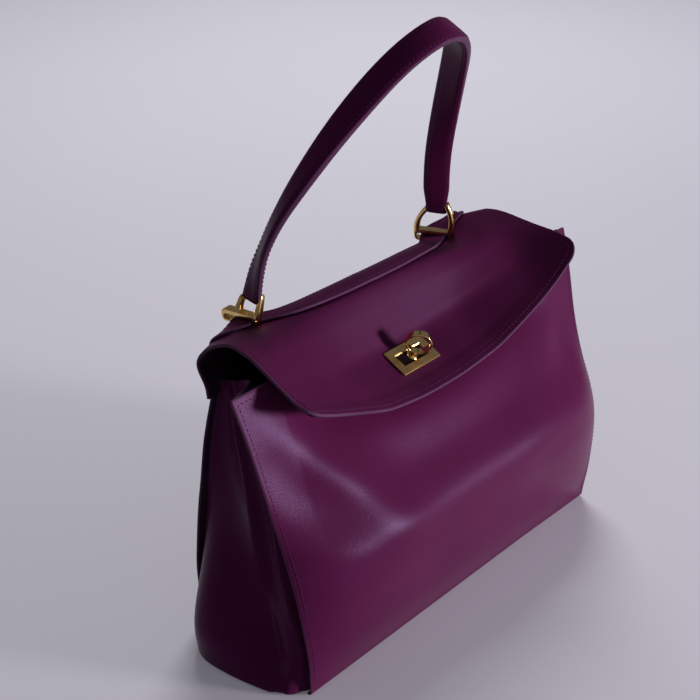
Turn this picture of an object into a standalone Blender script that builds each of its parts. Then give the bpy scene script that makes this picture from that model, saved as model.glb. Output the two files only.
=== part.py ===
# Leather flap bag with one top handle, a turn lock and gold-coloured fittings.
# Metres. +Z is up, +X runs to the right, the front faces -Y.
# The origin is on the surface that the bag stands on, under the middle of its base.
import math
import bpy
import bmesh
import numpy as np
from mathutils import Matrix, Vector

# Clearances
GAP = 0.0003              # between pieces that touch
EASY_GAP = 0.0006         # where leather follows another curved piece
SEAM_SPACE = 0.0016       # between a panel's inner face and the gusset's folded edge
OVERRUN = 0.002           # how far a cut runs past what it cuts

# Leather and lining
PANEL_THICK = 0.0018
GUSSET_THICK = 0.0016
FLAP_THICK = 0.0020
FLAP_LINING_THICK = 0.0008
LINING_THICK = 0.0010
BASE_THICK = 0.0030
STIFFENER_THICK = 0.0020

# The flap's hinge line, which the heights of the top's other pieces follow
HINGE_Y = 0.016
HINGE_Z = 0.1965

# Body of the bag
BASE_WIDTH = 0.287        # between the front seams at the base
BASE_DEPTH = 0.106
EAR_WIDTH = 0.319         # between the front panel's top corners
EAR_DROP = 0.0055         # of those corners, below the hinge line
EAR_HEIGHT = HINGE_Z - EAR_DROP
END_BELLY = 0.0240        # how far each end bulges past the seams, low down
TOP_BELLY = 0.006
FOLD_DEPTH = 0.021        # how far the gusset folds in at the top
BACK_BASE_WIDTH = 0.286
BACK_TOP_WIDTH = 0.241
BACK_DROP = 0.0275        # of the back panel's top, below the hinge line
BACK_HEIGHT = HINGE_Z - BACK_DROP

# Flap and the fixed top behind it
FLAP_WIDTH = 0.265
FLAP_REACH = 0.051        # from the hinge forward to the front edge at the middle
FLAP_DROP = 0.051         # from the hinge down to the front edge at the middle
FLAP_CORNER_RADIUS = 0.009
FLAT_WIDTH = 0.040        # level stretch of the flap that carries the lock
TOP_DROP = 0.0375         # height of the fixed top panel, over the back
TOP_REACH = 0.0300        # how far the fixed top panel runs back from the hinge

# Turn lock
LOCK_REACH = 0.024        # from the hinge line forward to the lock
LOCK_DROP = 0.0405
LOCK_Y = HINGE_Y - LOCK_REACH
LOCK_Z = HINGE_Z - LOCK_DROP
LOCK_TILT = math.radians(26)
PLATE_WIDTH = 0.036
PLATE_DEPTH = 0.020
PLATE_THICK = 0.0012
PLATE_RIM = 0.0062
PLATE_RIM_SHORT = 0.0057
PLATE_CORNER = 0.0004
BACK_PLATE_WIDTH = 0.030
BACK_PLATE_DEPTH = 0.015
BACK_PLATE_THICK = 0.0006
LOCK_PLAY = 0.0005        # between the flap's underside fittings and the receiver
RECEIVER_WIDTH = 0.025
RECEIVER_DEPTH = 0.016
RECEIVER_THICK = 0.0010
SLOT_PLAY = 0.0010
SLOT_LEAD = 0.0030        # extra slot towards the front, for the arc of the opening flap
BACKING_WIDTH = 0.030
BACKING_DEPTH = 0.0215
BACKING_THICK = 0.0008
NECK_RADIUS = 0.0020
NECK_HOLE_RADIUS = 0.0027
FOOT_RADIUS = 0.0037
FOOT_THICK = 0.0009
NECK_RISE = 0.0026        # from the plate to the ring
RING_RADIUS = 0.0084
RING_BORE_RADIUS = 0.0069
RING_WIDTH = 0.0046
RING_BITE = 0.0008        # how deep the neck runs into the ring
RING_TURN = math.radians(42)
LATCH_LENGTH = 0.0150
LATCH_WIDTH = 0.0040
LATCH_THICK = 0.0010
LATCH_ROOM = 0.0013       # round the turning latch, inside the front panel

# Handle
HANDLE_FOOT_X = 0.0885
HANDLE_FOOT_BACK = 0.0276 # from the hinge line
HANDLE_FOOT_UP = 0.0155
HANDLE_FOOT_Y = HINGE_Y + HANDLE_FOOT_BACK
HANDLE_FOOT_Z = HINGE_Z + HANDLE_FOOT_UP
HANDLE_RISE = 0.1530
HANDLE_LEAN_FOOT = 0.0190
HANDLE_LEAN_TOP = 0.0440
HANDLE_WIDTH = 0.0168
HANDLE_THICK = 0.0066
UNDERSIDE_THICK = 0.0012
STRAP_WALL = 0.0024
PIN_UP = 0.0038           # from the handle's end to its pin

# Stirrups, pins and screws
PIN_RADIUS = 0.0013
PIN_HOLE_RADIUS = 0.0016
BOSS_RADIUS = 0.0026
BOSS_LENGTH = 0.0025
ARM_WIDTH = 0.0030
ARM_THICK = 0.0020
ARM_SPREAD = 0.0004
LOOP_DOWN = 0.0149        # from the pin to the middle of the loop
LOOP_LENGTH = 0.0252
LOOP_HEIGHT = 0.0092
LOOP_WALL = 0.0012
LOOP_WIDTH = 0.0062
LOOP_CORNER = 0.0030
SCREW_RADIUS = 0.0022
SCREW_THICK = 0.0010

# Handle strip on the bag's top, with a tongue through each loop
YOKE_LENGTH = 0.240
YOKE_THICK = 0.0024
YOKE_HALF_WIDTH = 0.0085
YOKE_BACK = 0.0120        # from the hinge line to the strip's middle
TONGUE_BACK = 0.0290
YOKE_Y = HINGE_Y + YOKE_BACK
TONGUE_Y = HINGE_Y + TONGUE_BACK
NECK_HALF_WIDTH = 0.0050
BACKING_STRIP_LENGTH = 0.190
BACKING_STRIP_THICK = 0.0012

# Lining
LINING_HEIGHT = 0.131
LINING_LENGTH = 0.264
LINING_DEPTH = 0.094
LINING_CORNER_POWER = 5.0

# Outlines, as shares of the sizes above. Each row is (back share, height share).
# The front panel's middle, from its base to where the level stretch begins. Its heights
# are shares of the lock's height, and those of its side edge are shares of its own
FRONT_MID_SHARES = ((-1.00, 0.0), (-1.16, 0.1352), (-1.23, 0.2889), (-1.19, 0.4610),
                    (-1.05, 0.6269), (-0.86, 0.7621), (-0.62, 0.8604))
# The front panel's side edge, in as many steps as the whole middle line
FRONT_SIDE_SHARES = ((-1.00, 0.0), (-0.99, 0.110), (-0.92, 0.235), (-0.82, 0.370),
                     (-0.69, 0.500), (-0.57, 0.625), (-0.445, 0.745), (-0.345, 0.840),
                     (-0.255, 0.920), (-0.170, 1.000))
# Where the side's shape is reached, as a share of the flap's width
EAR_BLEND_SHARE = 0.945
# Stations of the level stretch, from the lock's middle, as shares of the plate's depth
LEVEL_SHARES = (0.60, -0.10, -0.80)
BACK_SHARES = ((0.985, 0.0), (1.03, 0.17), (1.04, 0.36), (1.02, 0.54), (0.95, 0.72),
               (0.87, 0.84), (0.815, 0.92), (0.800, 0.965), (0.815, 1.0))
FLAP_MID_SHARES = ((0.0, 0.0), (-0.06, -0.165), (-0.12, -0.340), (-0.185, -0.520))
FLAP_EDGE_SHARES = ((-0.83, -0.955), (-1.0, -1.0))
FLAP_SIDE_SHARES = ((0.0, 0.0), (-0.14, 0.035), (-0.28, 0.045), (-0.42, 0.045),
                    (-0.56, 0.030), (-0.83, -0.055), (-0.97, -0.120), (-1.14, -0.205))
TOP_SHARES = ((0.0, 0.0), (0.20, 0.0), (0.40, -0.025), (0.56, -0.090), (0.72, -0.200),
              (0.88, -0.350), (0.985, -0.510), (1.0, -0.680), (0.975, -0.850), (0.945, -1.0))
GUSSET_STEPS_SHARES = (0.0, 0.05, 0.10, 0.16, 0.22, 0.28, 0.34, 0.40, 0.46, 0.52,
                       0.60, 0.68, 0.76, 0.84, 0.92, 1.0)
# The share of the gusset's height at which its fold begins
FOLD_START_SHARE = 0.10
# How far in the gusset lies along those steps, as a share of its fold depth
GUSSET_FOLD_SHARES = (0.0, 0.20, 0.26, 0.10, -0.05, 0.12, 0.45, 0.78, 0.96, 1.0,
                      0.94, 0.80, 0.62, 0.42, 0.22, 0.0)
YOKE_STEP_SHARES = (0.0, 0.22, 0.42, 0.55, 0.63, 0.70, 0.755, 0.81, 0.88, 0.95, 1.0)
YOKE_WIDE_SHARES = (1.0, 1.0, 0.98, 0.94, 0.84, 0.68, 0.59, 0.62, 0.76, 0.58, 0.12)
YOKE_BACK_SHARES = (0.0, 0.02, 0.12, 0.30, 0.55, 0.84, 1.0, 1.0, 0.98, 0.95, 0.93)
YOKE_LIFT_SHARES = (0.0, 0.0, 0.0, 0.10, 0.42, 0.93, 1.0, 1.0, 1.0, 1.0, 1.0)
LINING_STEP_SHARES = (0.0, 0.18, 0.42, 0.65, 0.84, 1.0)
LINING_LENGTH_SHARES = (1.0, 0.985, 0.955, 0.925, 0.90, 0.885)
LINING_FRONT_SHARES = (-0.98, -1.03, -1.00, -0.82, -0.63, -0.46)
LINING_BACK_SHARES = (0.98, 1.02, 1.01, 0.97, 0.92, 0.86)


# Remove what is in the scene
for thing in list(bpy.data.objects):
    bpy.data.objects.remove(thing, do_unlink=True)


# Materials

def makeMaterial(name, colour, roughness, metallic):
    material = bpy.data.materials.new(name)
    material.use_nodes = True
    shader = material.node_tree.nodes["Principled BSDF"]
    shader.inputs["Base Color"].default_value = (*colour, 1.0)
    shader.inputs["Roughness"].default_value = roughness
    shader.inputs["Metallic"].default_value = metallic
    return material


PLUM = makeMaterial("plum_leather", (0.085, 0.014, 0.055), 0.42, 0.0)
DARK_PLUM = makeMaterial("lining_leather", (0.040, 0.010, 0.028), 0.55, 0.0)
FABRIC = makeMaterial("lining_fabric", (0.030, 0.012, 0.022), 0.85, 0.0)
BOARD = makeMaterial("stiffener_board", (0.30, 0.24, 0.17), 0.80, 0.0)
FOAM = makeMaterial("handle_filler", (0.35, 0.33, 0.30), 0.90, 0.0)
GOLD = makeMaterial("gold_metal", (0.72, 0.48, 0.20), 0.25, 1.0)


# Tools for making solids

def addObject(name, verts, faces, material, smooth=False):
    mesh = bpy.data.meshes.new(name)
    mesh.from_pydata([tuple(map(float, v)) for v in verts], [], faces)
    bm = bmesh.new()
    bm.from_mesh(mesh)
    bmesh.ops.recalc_face_normals(bm, faces=bm.faces)
    bm.to_mesh(mesh)
    bm.free()
    mesh.materials.append(material)
    thing = bpy.data.objects.new(name, mesh)
    bpy.context.scene.collection.objects.link(thing)
    if smooth:
        mesh.shade_smooth()
        mesh.set_sharp_from_angle(angle=math.radians(40))
    return thing


def gridFaces(rows, columns, start=0, turned=False):
    """Triangles, all split the same way, so that two faces of one sheet stay parallel."""
    faces = []
    for i in range(rows - 1):
        for j in range(columns - 1):
            a = start + i * columns + j
            b = a + columns
            for face in ((a, a + 1, b + 1), (a, b + 1, b)):
                faces.append(face[::-1] if turned else face)
    return faces


def sheetSolid(name, outer, thick, material):
    """A leather sheet: a grid for its outer face, and the same grid set in by its thickness."""
    rows, columns, _ = outer.shape
    inner = outer - surfaceNormals(outer) * thick
    verts = np.concatenate([outer.reshape(-1, 3), inner.reshape(-1, 3)])
    faces = gridFaces(rows, columns)
    faces += gridFaces(rows, columns, rows * columns, True)
    rim = [j for j in range(columns)]
    rim += [i * columns + columns - 1 for i in range(1, rows)]
    rim += [(rows - 1) * columns + j for j in range(columns - 2, -1, -1)]
    rim += [i * columns for i in range(rows - 2, 0, -1)]
    for k, a in enumerate(rim):
        b = rim[(k + 1) % len(rim)]
        faces.append((b, a, a + rows * columns, b + rows * columns))
    return addObject(name, verts, faces, material, True)


def surfaceNormals(grid):
    along = np.gradient(grid, axis=1)
    up = np.gradient(grid, axis=0)
    normals = np.cross(along, up)
    return normals / np.linalg.norm(normals, axis=2, keepdims=True)


def prism(name, outline, low, high, material, bevel=0.0):
    """A flat outline in X and Y, raised from one height to another."""
    count = len(outline)
    verts = [(x, y, low) for x, y in outline] + [(x, y, high) for x, y in outline]
    faces = [tuple(range(count))[::-1], tuple(range(count, 2 * count))]
    faces += [(i, (i + 1) % count, count + (i + 1) % count, count + i) for i in range(count)]
    thing = addObject(name, verts, faces, material)
    if bevel:
        addBevel(thing, bevel)
    return thing


def addBevel(thing, width):
    edge = thing.modifiers.new("soft_edges", 'BEVEL')
    edge.width = width
    edge.segments = 1
    edge.limit_method = 'ANGLE'


def sweepSolid(name, path, wide, out, section, material, smooth=True):
    """A closed section, (across, outward) pairs, carried along a path."""
    rings = path[:, None, :] + section[None, :, 0:1] * wide[:, None, :]
    rings = rings + section[None, :, 1:2] * out[:, None, :]
    rows, columns, _ = rings.shape
    faces = []
    for i in range(rows - 1):
        for j in range(columns):
            k = (j + 1) % columns
            faces.append((i * columns + j, i * columns + k, (i + 1) * columns + k, (i + 1) * columns + j))
    faces.append(tuple(range(columns))[::-1])
    faces.append(tuple((rows - 1) * columns + j for j in range(columns)))
    return addObject(name, rings.reshape(-1, 3), faces, material, smooth)


def box(name, size, centre, material, place=Matrix.Identity(4), bevel=0.0):
    half = [s / 2 for s in size]
    corners = [(-half[0], -half[1]), (half[0], -half[1]), (half[0], half[1]), (-half[0], half[1])]
    outline = [(x + centre[0], y + centre[1]) for x, y in corners]
    thing = prism(name, outline, centre[2] - half[2], centre[2] + half[2], material, bevel)
    thing.matrix_world = place
    return thing


def cylinder(name, radius, start, end, material, sides=20):
    """A round bar between two points."""
    start, end = Vector(start), Vector(end)
    axis = end - start
    turn = axis.to_track_quat('Z', 'Y').to_matrix().to_4x4()
    angles = [2 * math.pi * k / sides for k in range(sides)]
    outline = [(radius * math.cos(a), radius * math.sin(a)) for a in angles]
    thing = prism(name, outline, 0.0, axis.length, material)
    thing.matrix_world = Matrix.Translation(start) @ turn
    thing.data.shade_smooth()
    thing.data.set_sharp_from_angle(angle=math.radians(40))
    return thing


def combine(thing, tool, operation):
    """Cut or join with a helper shape, which is hidden afterwards."""
    change = thing.modifiers.new(tool.name, 'BOOLEAN')
    change.operation = operation
    change.solver = 'EXACT'
    change.object = tool
    tool.hide_render = True
    tool.display_type = 'WIRE'


def roundedRectangle(length, height, corner, steps=4):
    points = []
    for cornerIndex in range(4):
        centreAcross = (length / 2 - corner) * (1, -1, -1, 1)[cornerIndex]
        centreUp = (height / 2 - corner) * (1, 1, -1, -1)[cornerIndex]
        for k in range(steps + 1):
            a = math.pi / 2 * (cornerIndex + k / steps)
            points.append((centreAcross + corner * math.cos(a), centreUp + corner * math.sin(a)))
    return points


def throughPoints(points, count):
    """Points evenly stepped along a smooth curve through the given ones."""
    points = np.asarray(points, float)
    ends = np.concatenate([2 * points[:1] - points[1:2], points, 2 * points[-1:] - points[-2:-1]])
    where = np.linspace(0, len(points) - 1, count)
    k = np.clip(where.astype(int), 0, len(points) - 2)
    t = (where - k)[:, None]
    a, b, c, d = ends[k], ends[k + 1], ends[k + 2], ends[k + 3]
    return 0.5 * (2 * b + (c - a) * t + (2 * a - 5 * b + 4 * c - d) * t ** 2
                  + (3 * b - a - 3 * c + d) * t ** 3)


def smoothStep(value):
    value = np.clip(value, 0, 1)
    return value * value * (3 - 2 * value)


# Places on the level stretch that carries the lock: its middle, the way towards
# the front and the way out of the leather, as (back, up) pairs
lockMiddle = np.array([LOCK_Y, LOCK_Z])
lockForward = np.array([-math.cos(LOCK_TILT), -math.sin(LOCK_TILT)])
lockOut = np.array([-math.sin(LOCK_TILT), math.cos(LOCK_TILT)])
flapStack = FLAP_THICK + GAP + FLAP_LINING_THICK + GAP + BACK_PLATE_THICK
receiverTop = flapStack + LOCK_PLAY
panelDown = receiverTop + RECEIVER_THICK + GAP
lockPlace = Matrix.Translation((0, LOCK_Y, LOCK_Z)) @ Matrix.Rotation(LOCK_TILT, 4, 'X')
halfDepth = BASE_DEPTH / 2
wallBottom = BASE_THICK + GAP


# Front panel

def frontPanelGrid(columns, rows, edgeShare=1.0):
    """The panel's outer face: the middle line and the side edge, blended across its width."""
    heights = EAR_HEIGHT - wallBottom
    lockHeight = LOCK_Z - wallBottom
    middle = [(b * halfDepth, wallBottom + h * lockHeight) for b, h in FRONT_MID_SHARES]
    middle += [tuple(lockMiddle - lockOut * panelDown + lockForward * s * PLATE_DEPTH)
               for s in LEVEL_SHARES]
    side = [(b * halfDepth, wallBottom + h * heights) for b, h in FRONT_SIDE_SHARES]
    middle = throughPoints(middle, rows)
    side = throughPoints(side, rows)
    up = np.linspace(0, 1, rows)[:, None]
    across = columns[None, :] * edgeShare
    half = (BASE_WIDTH + (EAR_WIDTH - BASE_WIDTH) * up ** 1.3) / 2
    x = across * half
    low = np.abs(across) ** 6
    flat = FLAT_WIDTH / 2
    ear = FLAP_WIDTH / 2 * EAR_BLEND_SHARE
    high = np.clip((np.abs(x) - flat) / (ear - flat), 0, 1) ** 1.5
    mix = low + (high - low) * smoothStep((up - 0.40) / 0.35)
    y = middle[:, 0:1] + (side[:, 0:1] - middle[:, 0:1]) * mix
    z = middle[:, 1:2] + (side[:, 1:2] - middle[:, 1:2]) * mix
    return np.stack([x, y + 0 * x, z + 0 * x], axis=2)


def makeFrontPanel():
    across = np.array([-1, -0.97, -0.92, -0.84, -0.72, -0.58, -0.44, -0.30, -0.20, -0.11])
    columns = np.concatenate([across, [0.0], -across[::-1]])
    panel = sheetSolid("front_panel", frontPanelGrid(columns, 19), PANEL_THICK, PLUM)
    hole = latchRoom("latch_room_in_panel", -panelDown - PANEL_THICK - OVERRUN, OVERRUN - receiverTop)
    combine(panel, hole, 'DIFFERENCE')
    return panel


def latchRoom(name, low, high):
    radius = LATCH_LENGTH / 2 + LATCH_ROOM
    start = lockPlace @ Vector((0, 0, low))
    end = lockPlace @ Vector((0, 0, high))
    return cylinder(name, radius, start, end, PLUM)


# Back panel

def backPanelGrid(columns, rows):
    """The back's outer face, one outline for its whole width."""
    heights = BACK_HEIGHT - wallBottom
    line = throughPoints([(b * halfDepth, wallBottom + h * heights) for b, h in BACK_SHARES], rows)
    up = (line[:, 1:2] - wallBottom) / heights
    half = (BACK_BASE_WIDTH + (BACK_TOP_WIDTH - BACK_BASE_WIDTH) * up) / 2
    x = -columns[None, :] * half
    return np.stack([x, line[:, 0:1] + 0 * x, line[:, 1:2] + 0 * x], axis=2)


def makeBackPanel():
    return sheetSolid("back_panel", backPanelGrid(np.linspace(-1, 1, 5), 15), PANEL_THICK, PLUM)


# Gussets

def gussetGrid(rows, sideSign):
    """A folded end wall. It runs from behind the front panel's edge to the back panel's edge.
    Inward fold and outward belly are added across the line between the two."""
    edge = np.array([-1.0, -0.975, -0.95]) * -sideSign
    columns = edge if sideSign < 0 else edge[::-1]
    front = frontPanelGrid(columns, rows)
    frontLine = (front - surfaceNormals(front) * (PANEL_THICK + SEAM_SPACE))[:, 1]
    back = backPanelGrid(-columns[::-1], rows)
    backLine = (back - surfaceNormals(back) * (PANEL_THICK + SEAM_SPACE))[:, 1]
    frontLine[0, 2] = wallBottom
    backLine[0, 2] = wallBottom
    steps = np.array(GUSSET_STEPS_SHARES)[None, :, None]
    fold = np.array(GUSSET_FOLD_SHARES)[None, :]
    up = np.linspace(0, 1, rows)[:, None]
    grid = frontLine[:, None, :] + (backLine - frontLine)[:, None, :] * steps
    belly = (END_BELLY + (TOP_BELLY - END_BELLY) * up) * np.sin(math.pi * steps[:, :, 0]) ** 0.8
    folded = (up - FOLD_START_SHARE) / (1 - FOLD_START_SHARE)
    folding = FOLD_DEPTH * smoothStep(folded) ** 0.8 * fold
    grid[:, :, 0] += sideSign * (belly - folding)
    return grid


def makeGusset(name, sideSign):
    grid = gussetGrid(19, sideSign)
    if sideSign < 0:
        grid = grid[:, ::-1]
    return sheetSolid(name, grid, GUSSET_THICK, PLUM)


# Base and its stiffener

def baseOutline(lengthShare, depthShare):
    ends = gussetGrid(19, 1)[0, :, :2]
    half = BASE_WIDTH / 2
    right = [(half, -halfDepth)] + [tuple(p) for p in ends[1:-1]] + [(half, halfDepth)]
    outline = right + [(-x, y) for x, y in right[::-1]]
    return [(x * lengthShare, y * depthShare) for x, y in outline]


def makeBase():
    prism("base_panel", baseOutline(1.0, 1.0), 0.0, BASE_THICK, PLUM)
    low = wallBottom
    prism("base_stiffener", baseOutline(0.955, 0.925), low, low + STIFFENER_THICK, BOARD)


# Lining, an open cup of cloth

def makeLining():
    low = wallBottom + STIFFENER_THICK + GAP
    count = 32
    angles = np.linspace(0, 2 * math.pi, count, endpoint=False)
    power = 2 / LINING_CORNER_POWER
    ringX = np.sign(np.cos(angles)) * np.abs(np.cos(angles)) ** power
    ringY = np.sign(np.sin(angles)) * np.abs(np.sin(angles)) ** power
    rows = []
    for inset in (0.0, LINING_THICK):
        for k, step in enumerate(LINING_STEP_SHARES):
            front = LINING_FRONT_SHARES[k] * LINING_DEPTH / 2 + inset
            back = LINING_BACK_SHARES[k] * LINING_DEPTH / 2 - inset
            half = LINING_LENGTH_SHARES[k] * LINING_LENGTH / 2 - inset
            height = low + step * LINING_HEIGHT + (inset if k == 0 else 0.0)
            y = (front + back) / 2 + ringY * (back - front) / 2
            rows.append(np.stack([ringX * half, y, np.full(count, height)], axis=1))
    outer = rows[:len(LINING_STEP_SHARES)]
    inner = rows[len(LINING_STEP_SHARES):][::-1]
    verts = np.concatenate(outer + inner)
    faces = [tuple(range(count))[::-1], tuple(range(len(verts) - count, len(verts)))]
    for i in range(len(outer) + len(inner) - 1):
        for j in range(count):
            k = (j + 1) % count
            faces.append((i * count + j, i * count + k, (i + 1) * count + k, (i + 1) * count + j))
    return addObject("lining", verts, faces, FABRIC, True)


# Fixed top panel behind the hinge, and the strip under it that holds the handle

def topLine(rows, inset=0.0):
    start = np.array([HINGE_Y + FLAP_THICK + GAP, HINGE_Z + FLAP_THICK / 2])
    line = throughPoints([start + (b * TOP_REACH, h * TOP_DROP) for b, h in TOP_SHARES], rows)
    along = np.gradient(line, axis=0)
    along /= np.linalg.norm(along, axis=1, keepdims=True)
    out = np.stack([-along[:, 1], along[:, 0]], axis=1)
    return line - out * inset


def stripGrid(line, width, columns):
    x = np.linspace(-width / 2, width / 2, columns)[None, :]
    ones = np.ones_like(x)
    return np.stack([np.ones((len(line), 1)) * x, line[:, 0:1] * ones, line[:, 1:2] * ones], axis=2)


def makeTopPanel():
    sheetSolid("top_panel", stripGrid(topLine(22), FLAP_WIDTH, 5), FLAP_THICK, PLUM)
    line = topLine(22, FLAP_THICK + GAP)[3:12]
    sheetSolid("yoke_backing", stripGrid(line, BACKING_STRIP_LENGTH, 3), BACKING_STRIP_THICK, BOARD)


# Yoke: the strip along the top whose two tongues carry the handle's loops

def makeYoke():
    half = YOKE_LENGTH / 2
    line = topLine(28, -EASY_GAP - YOKE_THICK)[:20]
    raised = loopMiddle(1)[2] + YOKE_THICK / 2
    centreY = mirrored(YOKE_Y + (TONGUE_Y - YOKE_Y) * np.array(YOKE_BACK_SHARES))
    wide = mirrored(YOKE_HALF_WIDTH * np.array(YOKE_WIDE_SHARES))
    lift = mirrored(np.array(YOKE_LIFT_SHARES))
    stations = np.array(YOKE_STEP_SHARES) * half
    x = np.concatenate([-stations[:0:-1], stations])
    rows = []
    for share in np.linspace(-1, 1, 7):
        y = centreY + wide * share
        resting = np.interp(y, line[:, 0], line[:, 1])
        rows.append(np.stack([x, y, resting + (raised - resting) * lift], axis=1))
    return sheetSolid("yoke", np.array(rows), YOKE_THICK, PLUM)


def mirrored(values):
    return np.concatenate([values[:0:-1], values])


# Flap

def flapWeight(x):
    flat = FLAT_WIDTH / 2
    return np.clip((np.abs(x) - flat) / (FLAP_WIDTH / 2 - flat), 0, 1) ** 1.5


def flapGrid(columns, rows):
    """The flap's outer face: the middle line and the side edge, blended by the width."""
    hinge = np.array([HINGE_Y, HINGE_Z + FLAP_THICK / 2])
    size = np.array([FLAP_REACH, FLAP_DROP])
    level = [lockMiddle + lockForward * s * PLATE_DEPTH for s in (-0.55, 0.60)]
    middle = [hinge + np.array(p) * size for p in FLAP_MID_SHARES] + level
    middle += [hinge + np.array(p) * size for p in FLAP_EDGE_SHARES]
    side = [hinge + np.array(p) * size for p in FLAP_SIDE_SHARES]
    x = columns * FLAP_WIDTH / 2
    weight = flapWeight(x)[None, :, None]
    lines = np.array(middle)[:, None, :] * (1 - weight) + np.array(side)[:, None, :] * weight
    grid = np.array([refineLine(lines[:, j], rows) for j in range(len(x))]).transpose(1, 0, 2)
    beyond = np.clip(np.abs(x) - (FLAP_WIDTH / 2 - FLAP_CORNER_RADIUS), 0, FLAP_CORNER_RADIUS)
    cornerCut = FLAP_CORNER_RADIUS - np.sqrt(FLAP_CORNER_RADIUS ** 2 - beyond ** 2)
    length = np.linalg.norm(np.diff(grid, axis=0), axis=2).sum(axis=0)
    shorter = 1 - cornerCut / length
    grid = np.array([shortenLine(grid[:, j], shorter[j]) for j in range(len(x))]).transpose(1, 0, 2)
    return np.concatenate([np.broadcast_to(x[None, :, None], grid.shape[:2] + (1,)), grid], axis=2)


def refineLine(points, rows):
    """More points along a line of given ones, keeping its straight stretch straight."""
    where = np.linspace(0, len(points) - 1, rows)
    return np.stack([np.interp(where, np.arange(len(points)), points[:, k]) for k in range(2)], axis=1)


def shortenLine(points, share):
    step = np.concatenate([[0], np.cumsum(np.linalg.norm(np.diff(points, axis=0), axis=1))])
    where = step * share
    return np.stack([np.interp(where, step, points[:, k]) for k in range(2)], axis=1)


def flapColumns():
    flat = FLAT_WIDTH / FLAP_WIDTH
    rounding = 1 - FLAP_CORNER_RADIUS / (FLAP_WIDTH / 2)
    outer = [rounding + (1 - rounding) * s for s in (0.35, 0.65, 0.88, 1.0)]
    inner = list(np.linspace(flat, rounding, 8))
    right = np.array([flat / 2] + inner + outer)
    return np.concatenate([-right[::-1], [0.0], right])


def makeFlap():
    columns = flapColumns()
    grid = flapGrid(columns, 15)[:, ::-1]
    flap = sheetSolid("flap", grid, FLAP_THICK, PLUM)
    under = grid - surfaceNormals(grid) * (FLAP_THICK + GAP)
    lining = sheetSolid("flap_lining", under[1:-1, 2:-2], FLAP_LINING_THICK, DARK_PLUM)
    for sheet, label in ((flap, "neck_hole_in_flap"), (lining, "neck_hole_in_flap_lining")):
        low = lockPlace @ Vector((0, 0, -flapStack - OVERRUN))
        high = lockPlace @ Vector((0, 0, OVERRUN))
        combine(sheet, cylinder(label, NECK_HOLE_RADIUS, low, high, PLUM), 'DIFFERENCE')


# Turn lock

def makeLockPlate():
    middle = (0, 0, GAP + PLATE_THICK / 2)
    plate = box("lock_plate", (PLATE_WIDTH, PLATE_DEPTH, PLATE_THICK), middle, GOLD, lockPlace, PLATE_CORNER)
    window = (PLATE_WIDTH - 2 * PLATE_RIM, PLATE_DEPTH - 2 * PLATE_RIM_SHORT, PLATE_THICK + 2 * OVERRUN)
    combine(plate, box("plate_window", window, middle, GOLD, lockPlace), 'DIFFERENCE')
    middle = (0, 0, BACK_PLATE_THICK / 2 - flapStack)
    size = (BACK_PLATE_WIDTH, BACK_PLATE_DEPTH, BACK_PLATE_THICK)
    back = box("lock_back_plate", size, middle, GOLD, lockPlace)
    low = lockPlace @ Vector((0, 0, -flapStack - OVERRUN))
    high = lockPlace @ Vector((0, 0, OVERRUN - flapStack))
    hole = cylinder("neck_hole_in_back_plate", NECK_RADIUS + GAP, low, high, GOLD)
    combine(back, hole, 'DIFFERENCE')


def makeLockRing():
    ringUp = GAP + PLATE_THICK + NECK_RISE + RING_RADIUS
    low = lockPlace @ Vector((0, 0, GAP - receiverTop - RECEIVER_THICK))
    high = lockPlace @ Vector((0, 0, ringUp - RING_RADIUS + RING_BITE))
    middle = lockPlace @ Vector((0, 0, ringUp))
    axis = lockPlace.to_3x3() @ Vector((math.cos(RING_TURN), math.sin(RING_TURN), 0))
    half = axis * RING_WIDTH / 2
    ring = cylinder("lock_ring", RING_RADIUS, middle - half, middle + half, GOLD, 28)
    bore = cylinder("lock_ring_bore", RING_BORE_RADIUS, middle - half * 2, middle + half * 2, GOLD, 28)
    combine(ring, cylinder("lock_neck", NECK_RADIUS, low, high, GOLD, 14), 'UNION')
    low = lockPlace @ Vector((0, 0, GAP))
    high = lockPlace @ Vector((0, 0, GAP + FOOT_THICK))
    combine(ring, cylinder("lock_foot", FOOT_RADIUS, low, high, GOLD), 'UNION')
    combine(ring, bore, 'DIFFERENCE')


def makeLatchAndReceiver():
    latchTop = receiverTop + RECEIVER_THICK
    size = (LATCH_LENGTH, LATCH_WIDTH, LATCH_THICK)
    box("lock_latch_bar", size, (0, 0, -latchTop - LATCH_THICK / 2), GOLD, lockPlace, PLATE_CORNER / 2)
    size = (RECEIVER_WIDTH, RECEIVER_DEPTH, RECEIVER_THICK)
    middle = (0, 0, -receiverTop - RECEIVER_THICK / 2)
    receiver = box("lock_receiver", size, middle, GOLD, lockPlace, PLATE_CORNER)
    slot = (LATCH_LENGTH + 2 * SLOT_PLAY, LATCH_WIDTH + 2 * SLOT_PLAY + SLOT_LEAD, size[2] + 2 * OVERRUN)
    cutter = box("receiver_slot", slot, (0, -SLOT_LEAD / 2, middle[2]), GOLD, lockPlace)
    combine(receiver, cutter, 'DIFFERENCE')
    depth = panelDown + PANEL_THICK + EASY_GAP + BACKING_THICK / 2
    size = (BACKING_WIDTH, BACKING_DEPTH, BACKING_THICK)
    box("receiver_backing", size, (0, 0, -depth), BOARD, lockPlace)


# Handle

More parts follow.
